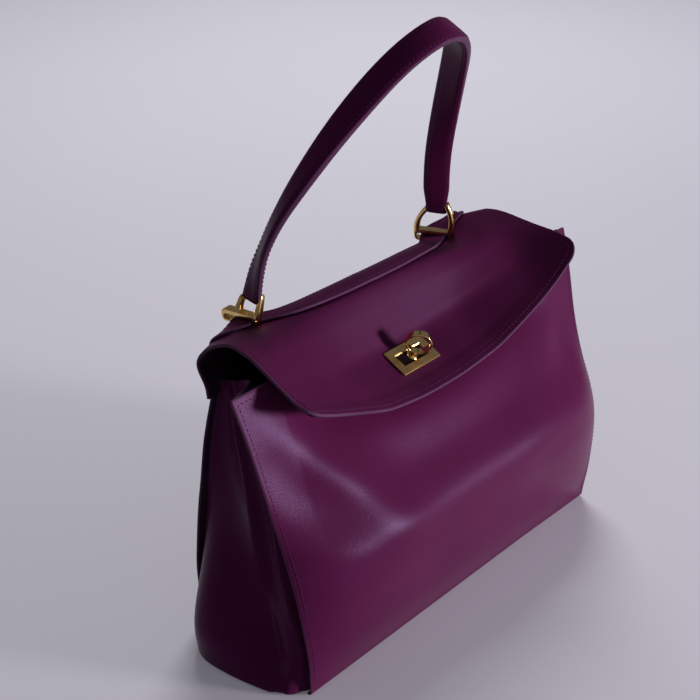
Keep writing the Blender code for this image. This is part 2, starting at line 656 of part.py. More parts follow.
def handlePath(steps, shortenFoot=0.0):
    """The handle's middle line: x falls off from the foot to the crown as a rounded arch,
    and y leans forward more and more with the height."""
    reach = 1 - shortenFoot / HANDLE_RISE
    t = np.linspace(-math.sqrt(reach), math.sqrt(reach), steps)
    rise = 1 - t ** 2
    x = np.sign(t) * HANDLE_FOOT_X * (1 - rise ** 1.3) ** 0.54
    y = HANDLE_FOOT_Y - HANDLE_LEAN_FOOT * rise - HANDLE_LEAN_TOP * rise ** 2
    z = HANDLE_FOOT_Z + HANDLE_RISE * rise
    path = np.stack([x, y, z], axis=1)
    slope = -(HANDLE_LEAN_FOOT + 2 * HANDLE_LEAN_TOP * rise) / HANDLE_RISE
    wide = np.stack([0 * slope, np.ones_like(slope), -slope], axis=1)
    wide /= np.linalg.norm(wide, axis=1, keepdims=True)
    along = np.gradient(path, axis=0)
    along /= np.linalg.norm(along, axis=1, keepdims=True)
    out = np.cross(wide, along)
    out /= np.linalg.norm(out, axis=1, keepdims=True)
    return path, wide, -out


def makeHandle():
    half, thick = HANDLE_WIDTH / 2, HANDLE_THICK / 2
    under = UNDERSIDE_THICK - thick
    angles = np.linspace(0, math.pi, 9)
    dome = [(half * math.copysign(abs(math.cos(a)) ** 0.7, math.cos(a)),
             under + GAP + (thick - under - GAP) * math.sin(a) ** 0.7) for a in angles]
    inner = half - STRAP_WALL
    roof = thick - STRAP_WALL
    core = [(inner, under + GAP), (inner, roof * 0.5), (inner * 0.7, roof),
            (-inner * 0.7, roof), (-inner, roof * 0.5), (-inner, under + GAP)]
    path, wide, out = handlePath(41)
    strap = sweepSolid("handle_strap", path, wide, out, np.array(dome + core[::-1]), PLUM)
    shrink = np.array([(a - math.copysign(GAP, a), b - (GAP if b > 0 else 0)) for a, b in core])
    bare = 2 * PIN_UP
    path, wide, out = handlePath(41, bare)
    sweepSolid("handle_core", path, wide, out, shrink, FOAM)
    strip = np.array([(half - GAP, -thick), (half - GAP, under), (GAP - half, under), (GAP - half, -thick)])
    sweepSolid("handle_underside", path, wide, out, strip, DARK_PLUM)
    for sideSign, label in ((-1, "left"), (1, "right")):
        middle, across, _ = pinFrame(sideSign)
        reach = across * HANDLE_WIDTH
        hole = cylinder(label + "_pin_hole", PIN_HOLE_RADIUS, middle - reach, middle + reach, PLUM, 14)
        combine(strap, hole, 'DIFFERENCE')


# Stirrups with their pins

def pinFrame(sideSign):
    """The pin's middle, the way along it (backwards) and the way down to the loop."""
    lean = math.atan(HANDLE_LEAN_FOOT / HANDLE_RISE)
    across = Vector((0, math.cos(lean), math.sin(lean)))
    down = Vector((0, math.sin(lean), -math.cos(lean)))
    foot = Vector((sideSign * HANDLE_FOOT_X, HANDLE_FOOT_Y, HANDLE_FOOT_Z))
    return foot - down * PIN_UP, across, down


def loopMiddle(sideSign):
    middle, _, down = pinFrame(sideSign)
    return middle + down * LOOP_DOWN + Vector((sideSign * LOOP_WIDTH / 2, 0, 0))


def plateAcross(name, outline, start, width, frame):
    """An outline of (along the pin, upwards) pairs, given a width along X."""
    middle, across, down = frame
    verts = []
    for x in (start, start + width):
        for a, b in outline:
            verts.append(middle + Vector((x, 0, 0)) + across * a - down * b)
    count = len(outline)
    faces = [tuple(range(count)), tuple(range(2 * count - 1, count - 1, -1))]
    faces += [(i, count + i, count + (i + 1) % count, (i + 1) % count) for i in range(count)]
    return addObject(name, verts, faces, GOLD)


def makeStirrup(label, sideSign):
    frame = pinFrame(sideSign)
    middle, across, _ = frame
    start = 0.0 if sideSign > 0 else -LOOP_WIDTH
    drop = -LOOP_DOWN
    loop = [(a, b + drop) for a, b in roundedRectangle(LOOP_LENGTH, LOOP_HEIGHT, LOOP_CORNER)]
    innerSize = (LOOP_LENGTH - 2 * LOOP_WALL, LOOP_HEIGHT - 2 * LOOP_WALL, LOOP_CORNER - LOOP_WALL)
    inner = [(a, b + drop) for a, b in roundedRectangle(*innerSize)]
    stirrup = plateAcross(label + "_stirrup", loop, start, LOOP_WIDTH, frame)
    tools = []
    bossStart = HANDLE_WIDTH / 2 + EASY_GAP
    bossEnd = bossStart + BOSS_LENGTH
    loopTop = drop + LOOP_HEIGHT / 2 - LOOP_WALL / 2
    for side in (-1, 1):
        low = bossStart + ARM_SPREAD
        arm = [(low, loopTop), (low + ARM_THICK, loopTop), (low + ARM_THICK, -BOSS_RADIUS),
               (bossEnd, 0.0), (bossStart, 0.0), (low, -BOSS_RADIUS)]
        arm = [(a * side, b) for a, b in arm]
        name = label + ("_back" if side > 0 else "_front")
        tools.append(plateAcross(name + "_arm", arm, -ARM_WIDTH / 2, ARM_WIDTH, frame))
        ends = [middle + across * side * s for s in (bossStart, bossEnd)]
        tools.append(cylinder(name + "_boss", BOSS_RADIUS, ends[0], ends[1], GOLD, 14))
    combine(stirrup, plateAcross(label + "_loop_bore", inner, start - OVERRUN,
                                 LOOP_WIDTH + 2 * OVERRUN, frame), 'DIFFERENCE')
    for tool in tools:
        combine(stirrup, tool, 'UNION')
    reach = across * (bossEnd + OVERRUN)
    hole = cylinder(label + "_stirrup_hole", PIN_HOLE_RADIUS, middle - reach, middle + reach, GOLD, 14)
    combine(stirrup, hole, 'DIFFERENCE')
    reach = across * (bossEnd - GAP)
    cylinder(label + "_pin", PIN_RADIUS, middle - reach, middle + reach, GOLD, 14)
    face = middle - across * (bossEnd + GAP)
    cylinder(label + "_pin_screw", SCREW_RADIUS, face, face - across * SCREW_THICK, GOLD, 14)


# Pivots: each moving body hangs on an empty that sits on its joint's axis, with its
# Z axis along that axis

def addPivot(name, position, axis, riders, carrier=None):
    pivot = bpy.data.objects.new(name, None)
    bpy.context.scene.collection.objects.link(pivot)
    turn = Vector(axis).to_track_quat('Z', 'Y').to_matrix().to_4x4()
    pivot.matrix_world = Matrix.Translation(position) @ turn
    bpy.context.view_layer.update()
    if carrier:
        hang(pivot, carrier)
    for rider in riders:
        hang(bpy.data.objects[rider], pivot)
    return pivot


def hang(thing, carrier):
    place = thing.matrix_world.copy()
    thing.parent = carrier
    thing.matrix_parent_inverse = carrier.matrix_world.inverted()
    thing.matrix_world = place
    bpy.context.view_layer.update()


def addPivots():
    hinge = Vector((0, HINGE_Y, HINGE_Z))
    plates = ("flap", "flap_lining", "lock_plate", "lock_back_plate")
    flap = addPivot("flap_pivot", hinge, (-1, 0, 0), plates)
    turning = ("lock_ring", "lock_latch_bar")
    addPivot("lock_pivot", lockPlace.translation, (0, *lockOut), turning, flap)
    swing = Vector((0, *loopMiddle(1)[1:]))
    pieces = ("handle_strap", "handle_core", "handle_underside")
    handle = addPivot("handle_pivot", swing, (1, 0, 0), pieces)
    for sideSign, label in ((-1, "left"), (1, "right")):
        middle, across, _ = pinFrame(sideSign)
        pieces = [label + "_stirrup", label + "_pin", label + "_pin_screw"]
        addPivot(label + "_stirrup_pivot", middle, across, pieces, handle)


makeFrontPanel()
makeBackPanel()
makeGusset("left_gusset", -1)
makeGusset("right_gusset", 1)
makeBase()
makeLining()
makeTopPanel()
makeYoke()
makeFlap()
makeLockPlate()
makeLockRing()
makeLatchAndReceiver()
makeHandle()
makeStirrup("left", -1)
makeStirrup("right", 1)
addPivots()
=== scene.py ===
# Plum leather flap bag with one top handle and gold-coloured fittings.
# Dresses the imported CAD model. Lengths are in metres, +Z is up, the front faces -Y.
import math

import bpy
import numpy as np
from mathutils import Matrix, Vector


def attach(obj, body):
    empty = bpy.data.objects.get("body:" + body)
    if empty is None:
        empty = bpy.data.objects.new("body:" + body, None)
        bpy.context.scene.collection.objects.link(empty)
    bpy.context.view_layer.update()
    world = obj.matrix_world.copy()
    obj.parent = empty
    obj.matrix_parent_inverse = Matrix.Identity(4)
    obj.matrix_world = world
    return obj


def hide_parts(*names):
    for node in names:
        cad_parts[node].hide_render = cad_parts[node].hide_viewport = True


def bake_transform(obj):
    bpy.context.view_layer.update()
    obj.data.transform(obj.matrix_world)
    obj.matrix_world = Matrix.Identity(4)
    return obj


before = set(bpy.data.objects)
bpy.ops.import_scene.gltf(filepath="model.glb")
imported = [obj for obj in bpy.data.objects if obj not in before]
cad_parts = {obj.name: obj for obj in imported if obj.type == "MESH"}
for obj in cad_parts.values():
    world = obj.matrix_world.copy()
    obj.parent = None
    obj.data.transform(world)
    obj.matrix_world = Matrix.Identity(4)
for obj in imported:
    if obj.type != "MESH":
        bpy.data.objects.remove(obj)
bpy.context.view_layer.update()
print("frame loaded,", len(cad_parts), "nodes")


# Maths shared by the pieces

def throughPoints(points, count):
    # smooth curve through every point, each stretch a cubic of its four nearest points;
    # count is how many samples, or the list of places along it
    points = np.asarray(points, float)
    ends = np.concatenate([2 * points[:1] - points[1:2], points, 2 * points[-1:] - points[-2:-1]])
    where = np.linspace(0, len(points) - 1, count) if np.isscalar(count) else count
    k = np.clip(where.astype(int), 0, len(points) - 2)
    t = (where - k)[:, None]
    a, b, c, d = ends[k], ends[k + 1], ends[k + 2], ends[k + 3]
    return 0.5 * (2 * b + (c - a) * t + (2 * a - 5 * b + 4 * c - d) * t ** 2
                  + (3 * b - a - 3 * c + d) * t ** 3)


def smoothStep(value, start=0.0, end=1.0):
    # 0 before start, 1 after end, and 3s^2 - 2s^3 between them
    s = np.clip((np.asarray(value, float) - start) / (end - start), 0, 1)
    return s * s * (3 - 2 * s)


def hill(value, middle, spread):
    # bell curve: exp(-((value - middle) / spread)^2)
    return np.exp(-((value - middle) / spread) ** 2)


def unit(vectors):
    # every vector divided by its own length
    return vectors / np.linalg.norm(vectors, axis=-1, keepdims=True)


def gridNormals(grid):
    # slope along the columns crossed with slope along the rows
    return unit(np.cross(np.gradient(grid, axis=1), np.gradient(grid, axis=0)))


def blurRows(lines, reach):
    # rows averaged with a bell-shaped weight; both ends are carried on straight
    steps = np.arange(-3 * reach, 3 * reach + 1)
    weights = np.exp(-0.5 * (steps / reach) ** 2)
    weights /= weights.sum()
    pad = 3 * reach
    before = 2 * lines[:1] - lines[pad:0:-1]
    after = 2 * lines[-1:] - lines[-2:-pad - 2:-1]
    padded = np.concatenate([before, lines, after])
    return sum(w * padded[i:i + len(lines)] for i, w in enumerate(weights))


def evenLine(points, count):
    # the same line, stepped evenly by its own length
    length = np.concatenate([[0], np.cumsum(np.linalg.norm(np.diff(points, axis=0), axis=1))])
    where = np.linspace(0, length[-1], count)
    return np.stack([np.interp(where, length, points[:, k]) for k in range(points.shape[1])], axis=1)


def spreadColumns(count, crowding=0.45):
    # -1 to 1, closer together near both ends: a straight ramp mixed with a sine
    ramp = np.linspace(-1, 1, count)
    return (1 - crowding) * ramp + crowding * np.sin(ramp * math.pi / 2)


def softNoise(x, y, z, size, seed):
    # sum of sine waves in random directions, with wavelengths near size, in -1 to 1
    rng = np.random.default_rng(seed)
    total = np.zeros_like(x + y + z)
    for k in range(7):
        way = unit(rng.normal(size=3))
        wave = size * rng.uniform(0.6, 1.8)
        total = total + np.sin(2 * math.pi * (x * way[0] + y * way[1] + z * way[2]) / wave
                               + rng.uniform(0, 6.28))
    return total / 7 * 1.6


# Mesh makers

def makePiece(name, verts, faces, materials, faceKinds=None, smooth=True, sharpAngle=None):
    # points and faces to a mesh object, with a material per kind of face, and its edges
    # smooth up to sharpAngle
    mesh = bpy.data.meshes.new(name)
    mesh.from_pydata(np.asarray(verts, float).tolist(), [], faces)
    for material in materials:
        mesh.materials.append(material)
    if faceKinds is not None:
        mesh.polygons.foreach_set("material_index", np.asarray(faceKinds, np.int32))
    mesh.polygons.foreach_set("use_smooth", np.full(len(mesh.polygons), smooth))
    if sharpAngle:
        mesh.set_sharp_from_angle(angle=math.radians(sharpAngle))
    mesh.validate()
    mesh.update()
    piece = bpy.data.objects.new(name, mesh)
    bpy.context.scene.collection.objects.link(piece)
    return piece


def place(piece, body, slot, *nodes):
    # the body it moves with, and the CAD nodes it stands in for; slot is not used
    if body:
        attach(piece, body)
    if nodes:
        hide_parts(*nodes)
    return piece


def gridQuads(rows, columns, start=0, closed=False):
    # one quad per cell, turned so that columns x rows is the outward side
    i = np.arange(rows - 1)[:, None] * columns
    j = np.arange(columns if closed else columns - 1)[None, :]
    k = (j + 1) % columns
    quads = np.stack([i + j, i + k, i + columns + k, i + columns + j], axis=-1)
    return (quads.reshape(-1, 4) + start).tolist()


def rimIndex(rows, columns):
    # once round the grid's edge, counterclockwise seen from its outward side
    bottom = np.arange(columns)
    right = np.arange(1, rows) * columns + columns - 1
    top = (rows - 1) * columns + np.arange(columns - 2, -1, -1)
    left = np.arange(rows - 2, 0, -1) * columns
    return np.concatenate([bottom, right, top, left])


def leatherSheet(name, outer, thick, materials, rimSteps=5, rimBulge=0.42):
    # outer face, the same face set in by the thickness, and a rounded painted rim between
    # them: rim point = edge - normal * (1 - cos a) * thick / 2 + outward * sin a * bulge
    rows, columns, _ = outer.shape
    normals = gridNormals(outer)
    inner = outer - normals * thick
    count = rows * columns
    rim = rimIndex(rows, columns)
    edge = outer.reshape(-1, 3)[rim]
    edgeNormal = normals.reshape(-1, 3)[rim]
    along = np.roll(edge, -1, axis=0) - np.roll(edge, 1, axis=0)
    outward = unit(np.cross(along, edgeNormal))
    angles = np.linspace(0, math.pi, rimSteps + 1)[1:-1]
    rings = [edge - edgeNormal * (1 - math.cos(a)) * thick / 2 + outward * math.sin(a) * thick * rimBulge
             for a in angles]
    verts = np.concatenate([outer.reshape(-1, 3), inner.reshape(-1, 3)] + rings)
    outerFaces = gridQuads(rows, columns)
    innerFaces = [f[::-1] for f in gridQuads(rows, columns, count)]
    n = len(rim)
    loops = [rim] + [2 * count + k * n + np.arange(n) for k in range(len(rings))] + [rim + count]
    rimFaces = []
    for upper, lower in zip(loops[:-1], loops[1:]):
        rimFaces += np.stack([np.roll(upper, -1), upper, lower, np.roll(lower, -1)], axis=1).tolist()
    kinds = [0] * len(outerFaces) + [2] * len(innerFaces) + [1] * len(rimFaces)
    return makePiece(name, verts, outerFaces + innerFaces + rimFaces, materials, kinds)


def signedVolume(verts, faces):
    # six times the volume: the sum of a . (b x c) over every triangle
    total = 0.0
    for size in sorted({len(f) for f in faces}):
        points = verts[np.array([f for f in faces if len(f) == size])]
        for k in range(1, size - 1):
            total += np.einsum("ij,ij->i", points[:, 0], np.cross(points[:, k], points[:, k + 1])).sum()
    return total


def facedOut(verts, faces):
    # all faces turned round where they enclose a negative volume
    return [f[::-1] for f in faces] if signedVolume(verts, faces) < 0 else faces


def ringFaces(rows, columns, looped=False):
    # quads from ring to ring; a loop joins the last ring to the first, and otherwise
    # one flat face closes each end
    if looped:
        return (np.array(gridQuads(rows + 1, columns, 0, True)) % (rows * columns)).tolist()
    last = (rows - 1) * columns
    ends = [list(range(columns))[::-1], [last + j for j in range(columns)]]
    return gridQuads(rows, columns, 0, True) + ends


def ringPiece(name, rings, materials, kinds=None, looped=False, smooth=True, sharpAngle=None):
    # a closed body through a row of closed rings
    rings = np.asarray(rings, float)
    rows, columns = rings.shape[:2]
    verts = rings.reshape(-1, 3)
    faces = facedOut(verts, ringFaces(rows, columns, looped))
    faceKinds = None if kinds is None else list(kinds) * (rows - 1) + [kinds[0]] * 2
    return makePiece(name, verts, faces, materials, faceKinds, smooth, sharpAngle)


def sweep(name, path, wide, out, section, materials, kinds=None, looped=False, sharpAngle=None):
    # every section point (across, outward) carried along the path: path + wide * across + out * outward
    section = np.asarray(section, float)
    if section.ndim == 2:
        section = np.broadcast_to(section, (len(path),) + section.shape)
    rings = path[:, None] + section[..., 0:1] * wide[:, None] + section[..., 1:2] * out[:, None]
    return ringPiece(name, rings, materials, kinds, looped, True, sharpAngle)


def turned(name, profile, start, axis, material, sides=40, looped=False, sharpAngle=35):
    # (radius, height) pairs turned about an axis
    axis = unit(np.asarray(axis, float))
    helper = np.array([1.0, 0, 0]) if abs(axis[0]) < 0.8 else np.array([0, 1.0, 0])
    u = unit(np.cross(axis, helper))
    v = np.cross(axis, u)
    a = np.linspace(0, 2 * math.pi, sides, endpoint=False)[None, :, None]
    profile = np.asarray(profile, float)
    around = np.cos(a) * u + np.sin(a) * v
    rings = np.asarray(start, float) + profile[:, None, 0:1] * around + profile[:, None, 1:2] * axis
    return ringPiece(name, rings, [material], None, looped, True, sharpAngle)


def merged(piece, tools, operation='UNION'):
    # the tools joined to the piece, or cut from it, as one closed body
    for tool in tools:
        change = piece.modifiers.new(tool.name, 'BOOLEAN')
        change.operation = operation
        change.solver = 'EXACT'
        change.object = tool
        graph = bpy.context.evaluated_depsgraph_get()
        result = bpy.data.meshes.new_from_object(piece.evaluated_get(graph))
        piece.modifiers.clear()
        piece.data = result
        bpy.data.objects.remove(tool, do_unlink=True)
    return piece


def roundedRectangle(length, height, corner, steps=6):
    # corner centres plus a quarter circle each
    a = math.pi / 2 * (np.arange(4)[:, None] + np.linspace(0, 1, steps + 1)[None, :])
    across = np.array([1, -1, -1, 1])[:, None] * (length / 2 - corner) + corner * np.cos(a)
    up = np.array([1, 1, -1, -1])[:, None] * (height / 2 - corner) + corner * np.sin(a)
    return np.stack([across.ravel(), up.ravel()], axis=1)


stitch = {"pitch": 0.0030, "length": 0.0024, "radius": 0.00026, "slant": 0.12, "flapInset": 0.0034,
          "yokeInset": 0.0022, "handleInset": 0.0020, "wallInset": 0.0026}


def stitchRow(name, points, normals, body):
    # one small bent capsule per stitch, end to end along the line:
    # centre + way * length * u + side * radius * cos b + normal * (radius * sin b + rise)
    points = np.asarray(points, float)
    length = np.concatenate([[0], np.cumsum(np.linalg.norm(np.diff(points, axis=0), axis=1))])
    count = max(2, int(length[-1] / stitch["pitch"]))
    where = (np.arange(count) + 0.5) / count * length[-1]

    def pick(data, at):
        return np.stack([np.interp(at, length, data[:, k]) for k in range(3)], axis=1)

    centre = pick(points, where)
    normal = unit(pick(np.asarray(normals, float), where))
    way = unit(pick(points, where + 2e-4) - pick(points, where - 2e-4))
    side = unit(np.cross(way, normal))
    way = unit(way + side * stitch["slant"])
    side = unit(np.cross(way, normal))
    u = np.array([-0.5, -0.47, -0.38, -0.15, 0.15, 0.38, 0.47, 0.5])
    girth = np.array([0.15, 0.55, 0.9, 1.0, 1.0, 0.9, 0.55, 0.15])
    rise = np.array([-0.9, -0.6, -0.1, 0.25, 0.25, -0.1, -0.6, -0.9])
    b = np.linspace(0, 2 * math.pi, 6, endpoint=False)
    r = stitch["radius"]
    along = way[:, None, None] * (u * stitch["length"])[None, :, None, None]
    across = side[:, None, None] * (r * girth[:, None] * np.cos(b)[None, :])[None, :, :, None]
    lift = normal[:, None, None] * (r * girth[:, None] * np.sin(b)[None, :]
                                    + (r * rise)[:, None])[None, :, :, None]
    verts = centre[:, None, None] + along + across + lift
    rings, sides = verts.shape[1:3]
    one = facedOut(verts[0].reshape(-1, 3), ringFaces(rings, sides))
    faces = [[v + k * rings * sides for v in f] for k in range(count) for f in one]
    piece = makePiece(name, verts.reshape(-1, 3), faces, [threadMaterial])
    return place(piece, body, "plum_leather")


# Materials

def newMaterial(name, roughness, metallic=0.0):
    # a plain surface, ready for its pattern
    material = bpy.data.materials.new(name)
    material.use_nodes = True
    shader = material.node_tree.nodes["Principled BSDF"]
    shader.inputs["Roughness"].default_value = roughness
    shader.inputs["Metallic"].default_value = metallic
    return material, material.node_tree, shader


def feed(tree, made, sockets):
    # an output socket is linked, anything else becomes the input's value
    for key, value in sockets.items():
        if isinstance(value, bpy.types.NodeSocket):
            tree.links.new(value, made.inputs[key])
        else:
            made.inputs[key].default_value = value


def node(tree, kind, sockets, **settings):
    made = tree.nodes.new(kind)
    for key, value in settings.items():
        setattr(made, key, value)
    feed(tree, made, sockets)
    return made


def objectPlace(tree):
    # patterns lie on the object's own coordinates
    return node(tree, "ShaderNodeTexCoord", {}).outputs["Object"]


def colourMix(tree, share, low, high):
    # sockets 6 and 7 are the two colours, and output 2 is the mixed one
    return node(tree, "ShaderNodeMix", {"Factor": share, 6: low, 7: high}, data_type='RGBA').outputs[2]


def colourRamp(tree, share, low, high, start=0.0, end=1.0):
    ramp = node(tree, "ShaderNodeValToRGB", {"Fac": share})
    for stop, colour, spot in zip(ramp.color_ramp.elements, (low, high), (start, end)):
        stop.position = spot
        stop.color = (*colour, 1)
    return ramp.outputs["Color"]


def bumpFrom(tree, height, strength, depth):
    bump = node(tree, "ShaderNodeBump", {"Height": height, "Strength": strength, "Distance": depth})
    return bump.outputs["Normal"]


def makeGrainGroup():
    # fine calf grain: rounded cells, broken up by a finer noise, with slow patches of tone
    group = bpy.data.node_groups.new("calfGrain", "ShaderNodeTree")
    group.interface.new_socket("Place", in_out='INPUT', socket_type='NodeSocketVector')
    group.interface.new_socket("Cells", in_out='INPUT', socket_type='NodeSocketFloat').default_value = 1500.0
    group.interface.new_socket("Patches", in_out='INPUT', socket_type='NodeSocketFloat').default_value = 14.0
    group.interface.new_socket("Height", in_out='OUTPUT', socket_type='NodeSocketFloat')
    group.interface.new_socket("Tone", in_out='OUTPUT', socket_type='NodeSocketFloat')
    given = group.nodes.new("NodeGroupInput").outputs
    result = group.nodes.new("NodeGroupOutput")
    spot = given["Place"]
    warp = node(group, "ShaderNodeTexNoise", {"Vector": spot, "Scale": 420.0, "Detail": 2.0})
    shift = node(group, "ShaderNodeVectorMath", {0: warp.outputs["Color"], "Scale": 0.0006},
                 operation='SCALE')
    moved = node(group, "ShaderNodeVectorMath", {0: spot, 1: shift.outputs[0]}, operation='ADD')
    cells = node(group, "ShaderNodeTexVoronoi", {
        "Vector": moved.outputs[0], "Scale": given["Cells"], "Smoothness": 0.35}, feature='SMOOTH_F1')
    dome = node(group, "ShaderNodeMapRange", {
        "Value": cells.outputs["Distance"], "From Min": 0.15, "From Max": 0.65, "To Min": 1.0, "To Max": 0.0})
    fine = node(group, "ShaderNodeTexNoise",
                {"Vector": spot, "Scale": 2600.0, "Detail": 3.0, "Roughness": 0.6})
    height = node(group, "ShaderNodeMath", {
        0: fine.outputs["Fac"], 1: 0.45, 2: dome.outputs["Result"]}, operation='MULTIPLY_ADD')
    patches = node(group, "ShaderNodeTexNoise", {
        "Vector": spot, "Scale": given["Patches"], "Detail": 3.0, "Roughness": 0.55})
    tone = node(group, "ShaderNodeMapRange", {
        "Value": patches.outputs["Fac"], "From Min": 0.32, "From Max": 0.68})
    feed(group, result, {"Height": height.outputs[0], "Tone": tone.outputs["Result"]})
    return group


grainGroup = makeGrainGroup()


def grainedMaterial(name, **changes):
    # two tones mixed by slow patches, grain as bump, and a little of it in the roughness
    look = {**plumLook, **changes}
    material, tree, shader = newMaterial(name, look["roughness"])
    grain = tree.nodes.new("ShaderNodeGroup")
    grain.node_tree = grainGroup
    feed(tree, grain, {"Place": objectPlace(tree), "Cells": look["cells"], "Patches": look["patches"]})
    height = grain.outputs["Height"]
    rough = node(tree, "ShaderNodeMapRange", {
        "Value": height, "From Max": 1.4, "To Min": look["roughness"] + 0.07,
        "To Max": look["roughness"] - 0.03})
    feed(tree, shader, {
        "Base Color": colourMix(tree, grain.outputs["Tone"], (*look["dark"], 1), (*look["light"], 1)),
        "Roughness": rough.outputs["Result"], "Normal": bumpFrom(tree, height, look["bump"], look["depth"]),
        "Specular IOR Level": look["specular"], "Specular Tint": (*look["gloss"], 1)})
    shader.inputs["Sheen Weight"].default_value = look["sheen"]
    shader.inputs["Sheen Roughness"].default_value = 0.45
    shader.inputs["Sheen Tint"].default_value = (*look["sheenColour"], 1)
    return material


plumLook = {"dark": (0.088, 0.0085, 0.050), "light": (0.102, 0.0105, 0.060), "roughness": 0.30,
            "specular": 0.11, "gloss": (0.62, 0.45, 1.0), "sheen": 0.0, "sheenColour": (0.85, 0.55, 0.90),
            "cells": 1500.0, "patches": 14.0, "bump": 0.20, "depth": 0.0002}
plumLeather = grainedMaterial("plumCalf")
# a darker copy of the plum calf for the top sheet and yoke: its darker colour is painted shade, and it is
# also rougher and less glossy
shadedFlapLeather = grainedMaterial("flapCalfPaintedShade", dark=(0.072, 0.0080, 0.043), light=(0.084, 0.0096, 0.050),
                              roughness=0.48, specular=0.10)
edgePaint = grainedMaterial("paintedEdge", dark=(0.085, 0.030, 0.075), light=(0.115, 0.045, 0.100),
                            roughness=0.46, cells=700.0, bump=0.12)
fleshSide = grainedMaterial("fleshSide", dark=(0.030, 0.009, 0.021), light=(0.050, 0.016, 0.036),
                            roughness=0.72, cells=2400.0, bump=0.45, sheen=0.25)
facingLeather = grainedMaterial("facingLeather", dark=(0.034, 0.009, 0.024), light=(0.048, 0.012, 0.034),
                                roughness=0.52)
# near black: painted shade at the bottom of the lock's window
paintedShadeWell = grainedMaterial("paintedShadeWell", dark=(0.008, 0.004, 0.004), light=(0.014, 0.007, 0.006),
                              roughness=0.7)
threadMaterial = grainedMaterial("plumThread", dark=(0.085, 0.022, 0.062), light=(0.120, 0.034, 0.088),
                                 roughness=0.55, cells=3500.0, patches=160.0, bump=0.5)
boardMaterial = grainedMaterial("bagBoard", dark=(0.25, 0.20, 0.14), light=(0.34, 0.28, 0.20),
                                roughness=0.85, cells=900.0, bump=0.3)
fillerMaterial = grainedMaterial("ropeFiller", dark=(0.28, 0.26, 0.23), light=(0.40, 0.38, 0.34),
                                 roughness=0.9, cells=600.0, bump=0.5)


def makeCloth():
    # plain weave: two sets of ridges at right angles, one over the other
    material, tree, shader = newMaterial("liningCloth", 0.82)
    spot = objectPlace(tree)
    ridges = [node(tree, "ShaderNodeTexWave", {
        "Vector": spot, "Scale": 340.0, "Distortion": 0.6, "Detail Scale": 4.0},
        bands_direction=way).outputs["Fac"] for way in ('X', 'Z')]
    weave = node(tree, "ShaderNodeMath", {0: ridges[0], 1: ridges[1]}, operation='MULTIPLY').outputs[0]
    feed(tree, shader, {
        "Base Color": colourRamp(tree, weave, (0.020, 0.008, 0.015), (0.045, 0.018, 0.032)),
        "Normal": bumpFrom(tree, weave, 0.4, 0.0003), "Sheen Weight": 0.3})
    return material


liningCloth = makeCloth()


def goldMaterial(name, **changes):
    # plated brass: slow tarnish in the colour, hairlines drawn out along one way as bump
    look = {**goldLook, **changes}
    material, tree, shader = newMaterial(name, look["roughness"], 1.0)
    spot = objectPlace(tree)
    stretch = node(tree, "ShaderNodeMapping", {"Vector": spot, "Scale": look["stretch"]})
    lines = node(tree, "ShaderNodeTexNoise", {
        "Vector": stretch.outputs[0], "Scale": look["lines"], "Detail": 4.0, "Roughness": 0.6}).outputs["Fac"]
    tarnish = node(tree, "ShaderNodeTexNoise", {"Vector": spot, "Scale": 210.0, "Detail": 3.0})
    rough = node(tree, "ShaderNodeMapRange", {
        "Value": lines, "To Min": look["roughness"] - 0.05, "To Max": look["roughness"] + 0.08})
    feed(tree, shader, {
        "Base Color": colourRamp(tree, tarnish.outputs["Fac"], look["dark"], look["light"], 0.35, 0.65),
        "Roughness": rough.outputs["Result"], "Normal": bumpFrom(tree, lines, look["bump"], 0.0001)})
    return material


goldLook = {"dark": (0.84, 0.56, 0.20), "light": (0.93, 0.69, 0.29), "roughness": 0.16, "bump": 0.05,
            "stretch": (1.0, 1.0, 1.0), "lines": 900.0}
polishedGold = goldMaterial("polishedGold")
brushedGold = goldMaterial("brushedGold", roughness=0.30, bump=0.35, stretch=(0.06, 1.0, 1.0), lines=2200.0)
hiddenMetal = goldMaterial("insideGold", roughness=0.35)
leatherSet = [plumLeather, edgePaint, fleshSide]
# the top sheet and yoke take the darker copy, whose colour is painted shade
flapSet = [shadedFlapLeather, edgePaint, fleshSide]
print("materials made")


# Front wall

frontWall = {"thick": 0.0018, "baseWidth": 0.287, "halfDepth": 0.053, "bottom": 0.0033,
             "earWidth": 0.319, "earHeight": 0.191, "flat": 0.020, "blend": 0.1252,
             "rollRadius": 0.0032, "bulgeOut": 0.0118, "bulgeForward": 0.0045, "earOut": 0.0070,
             "ridgeLow": 0.089, "ridgeRise": 0.100, "ridgeLeft": 0.0075, "ridgeRight": 0.0035,
             "ridgeOut": 0.095, "ridgeLength": 0.040, "ridgeWidth": 0.024}
lock = {"y": -0.008, "z": 0.156, "tilt": math.radians(26), "plateDepth": 0.020, "panelDown": 0.0058}
lockMiddle = np.array([lock["y"], lock["z"]])
lockForward = np.array([-math.cos(lock["tilt"]), -math.sin(lock["tilt"])])
lockOut = np.array([-math.sin(lock["tilt"]), math.cos(lock["tilt"])])
frontMiddle = ((-1.00, 0.0), (-1.13, 0.1352), (-1.205, 0.2889), (-1.245, 0.4400),
               (-1.180, 0.5700), (-0.88, 0.7150), (-0.62, 0.8604))
frontSide = ((-1.00, 0.0), (-0.99, 0.110), (-0.92, 0.235), (-0.82, 0.370), (-0.69, 0.500),
             (-0.57, 0.625), (-0.445, 0.745), (-0.345, 0.840), (-0.255, 0.920), (-0.170, 1.000))
levelSteps = (0.60, -0.10, -0.80)


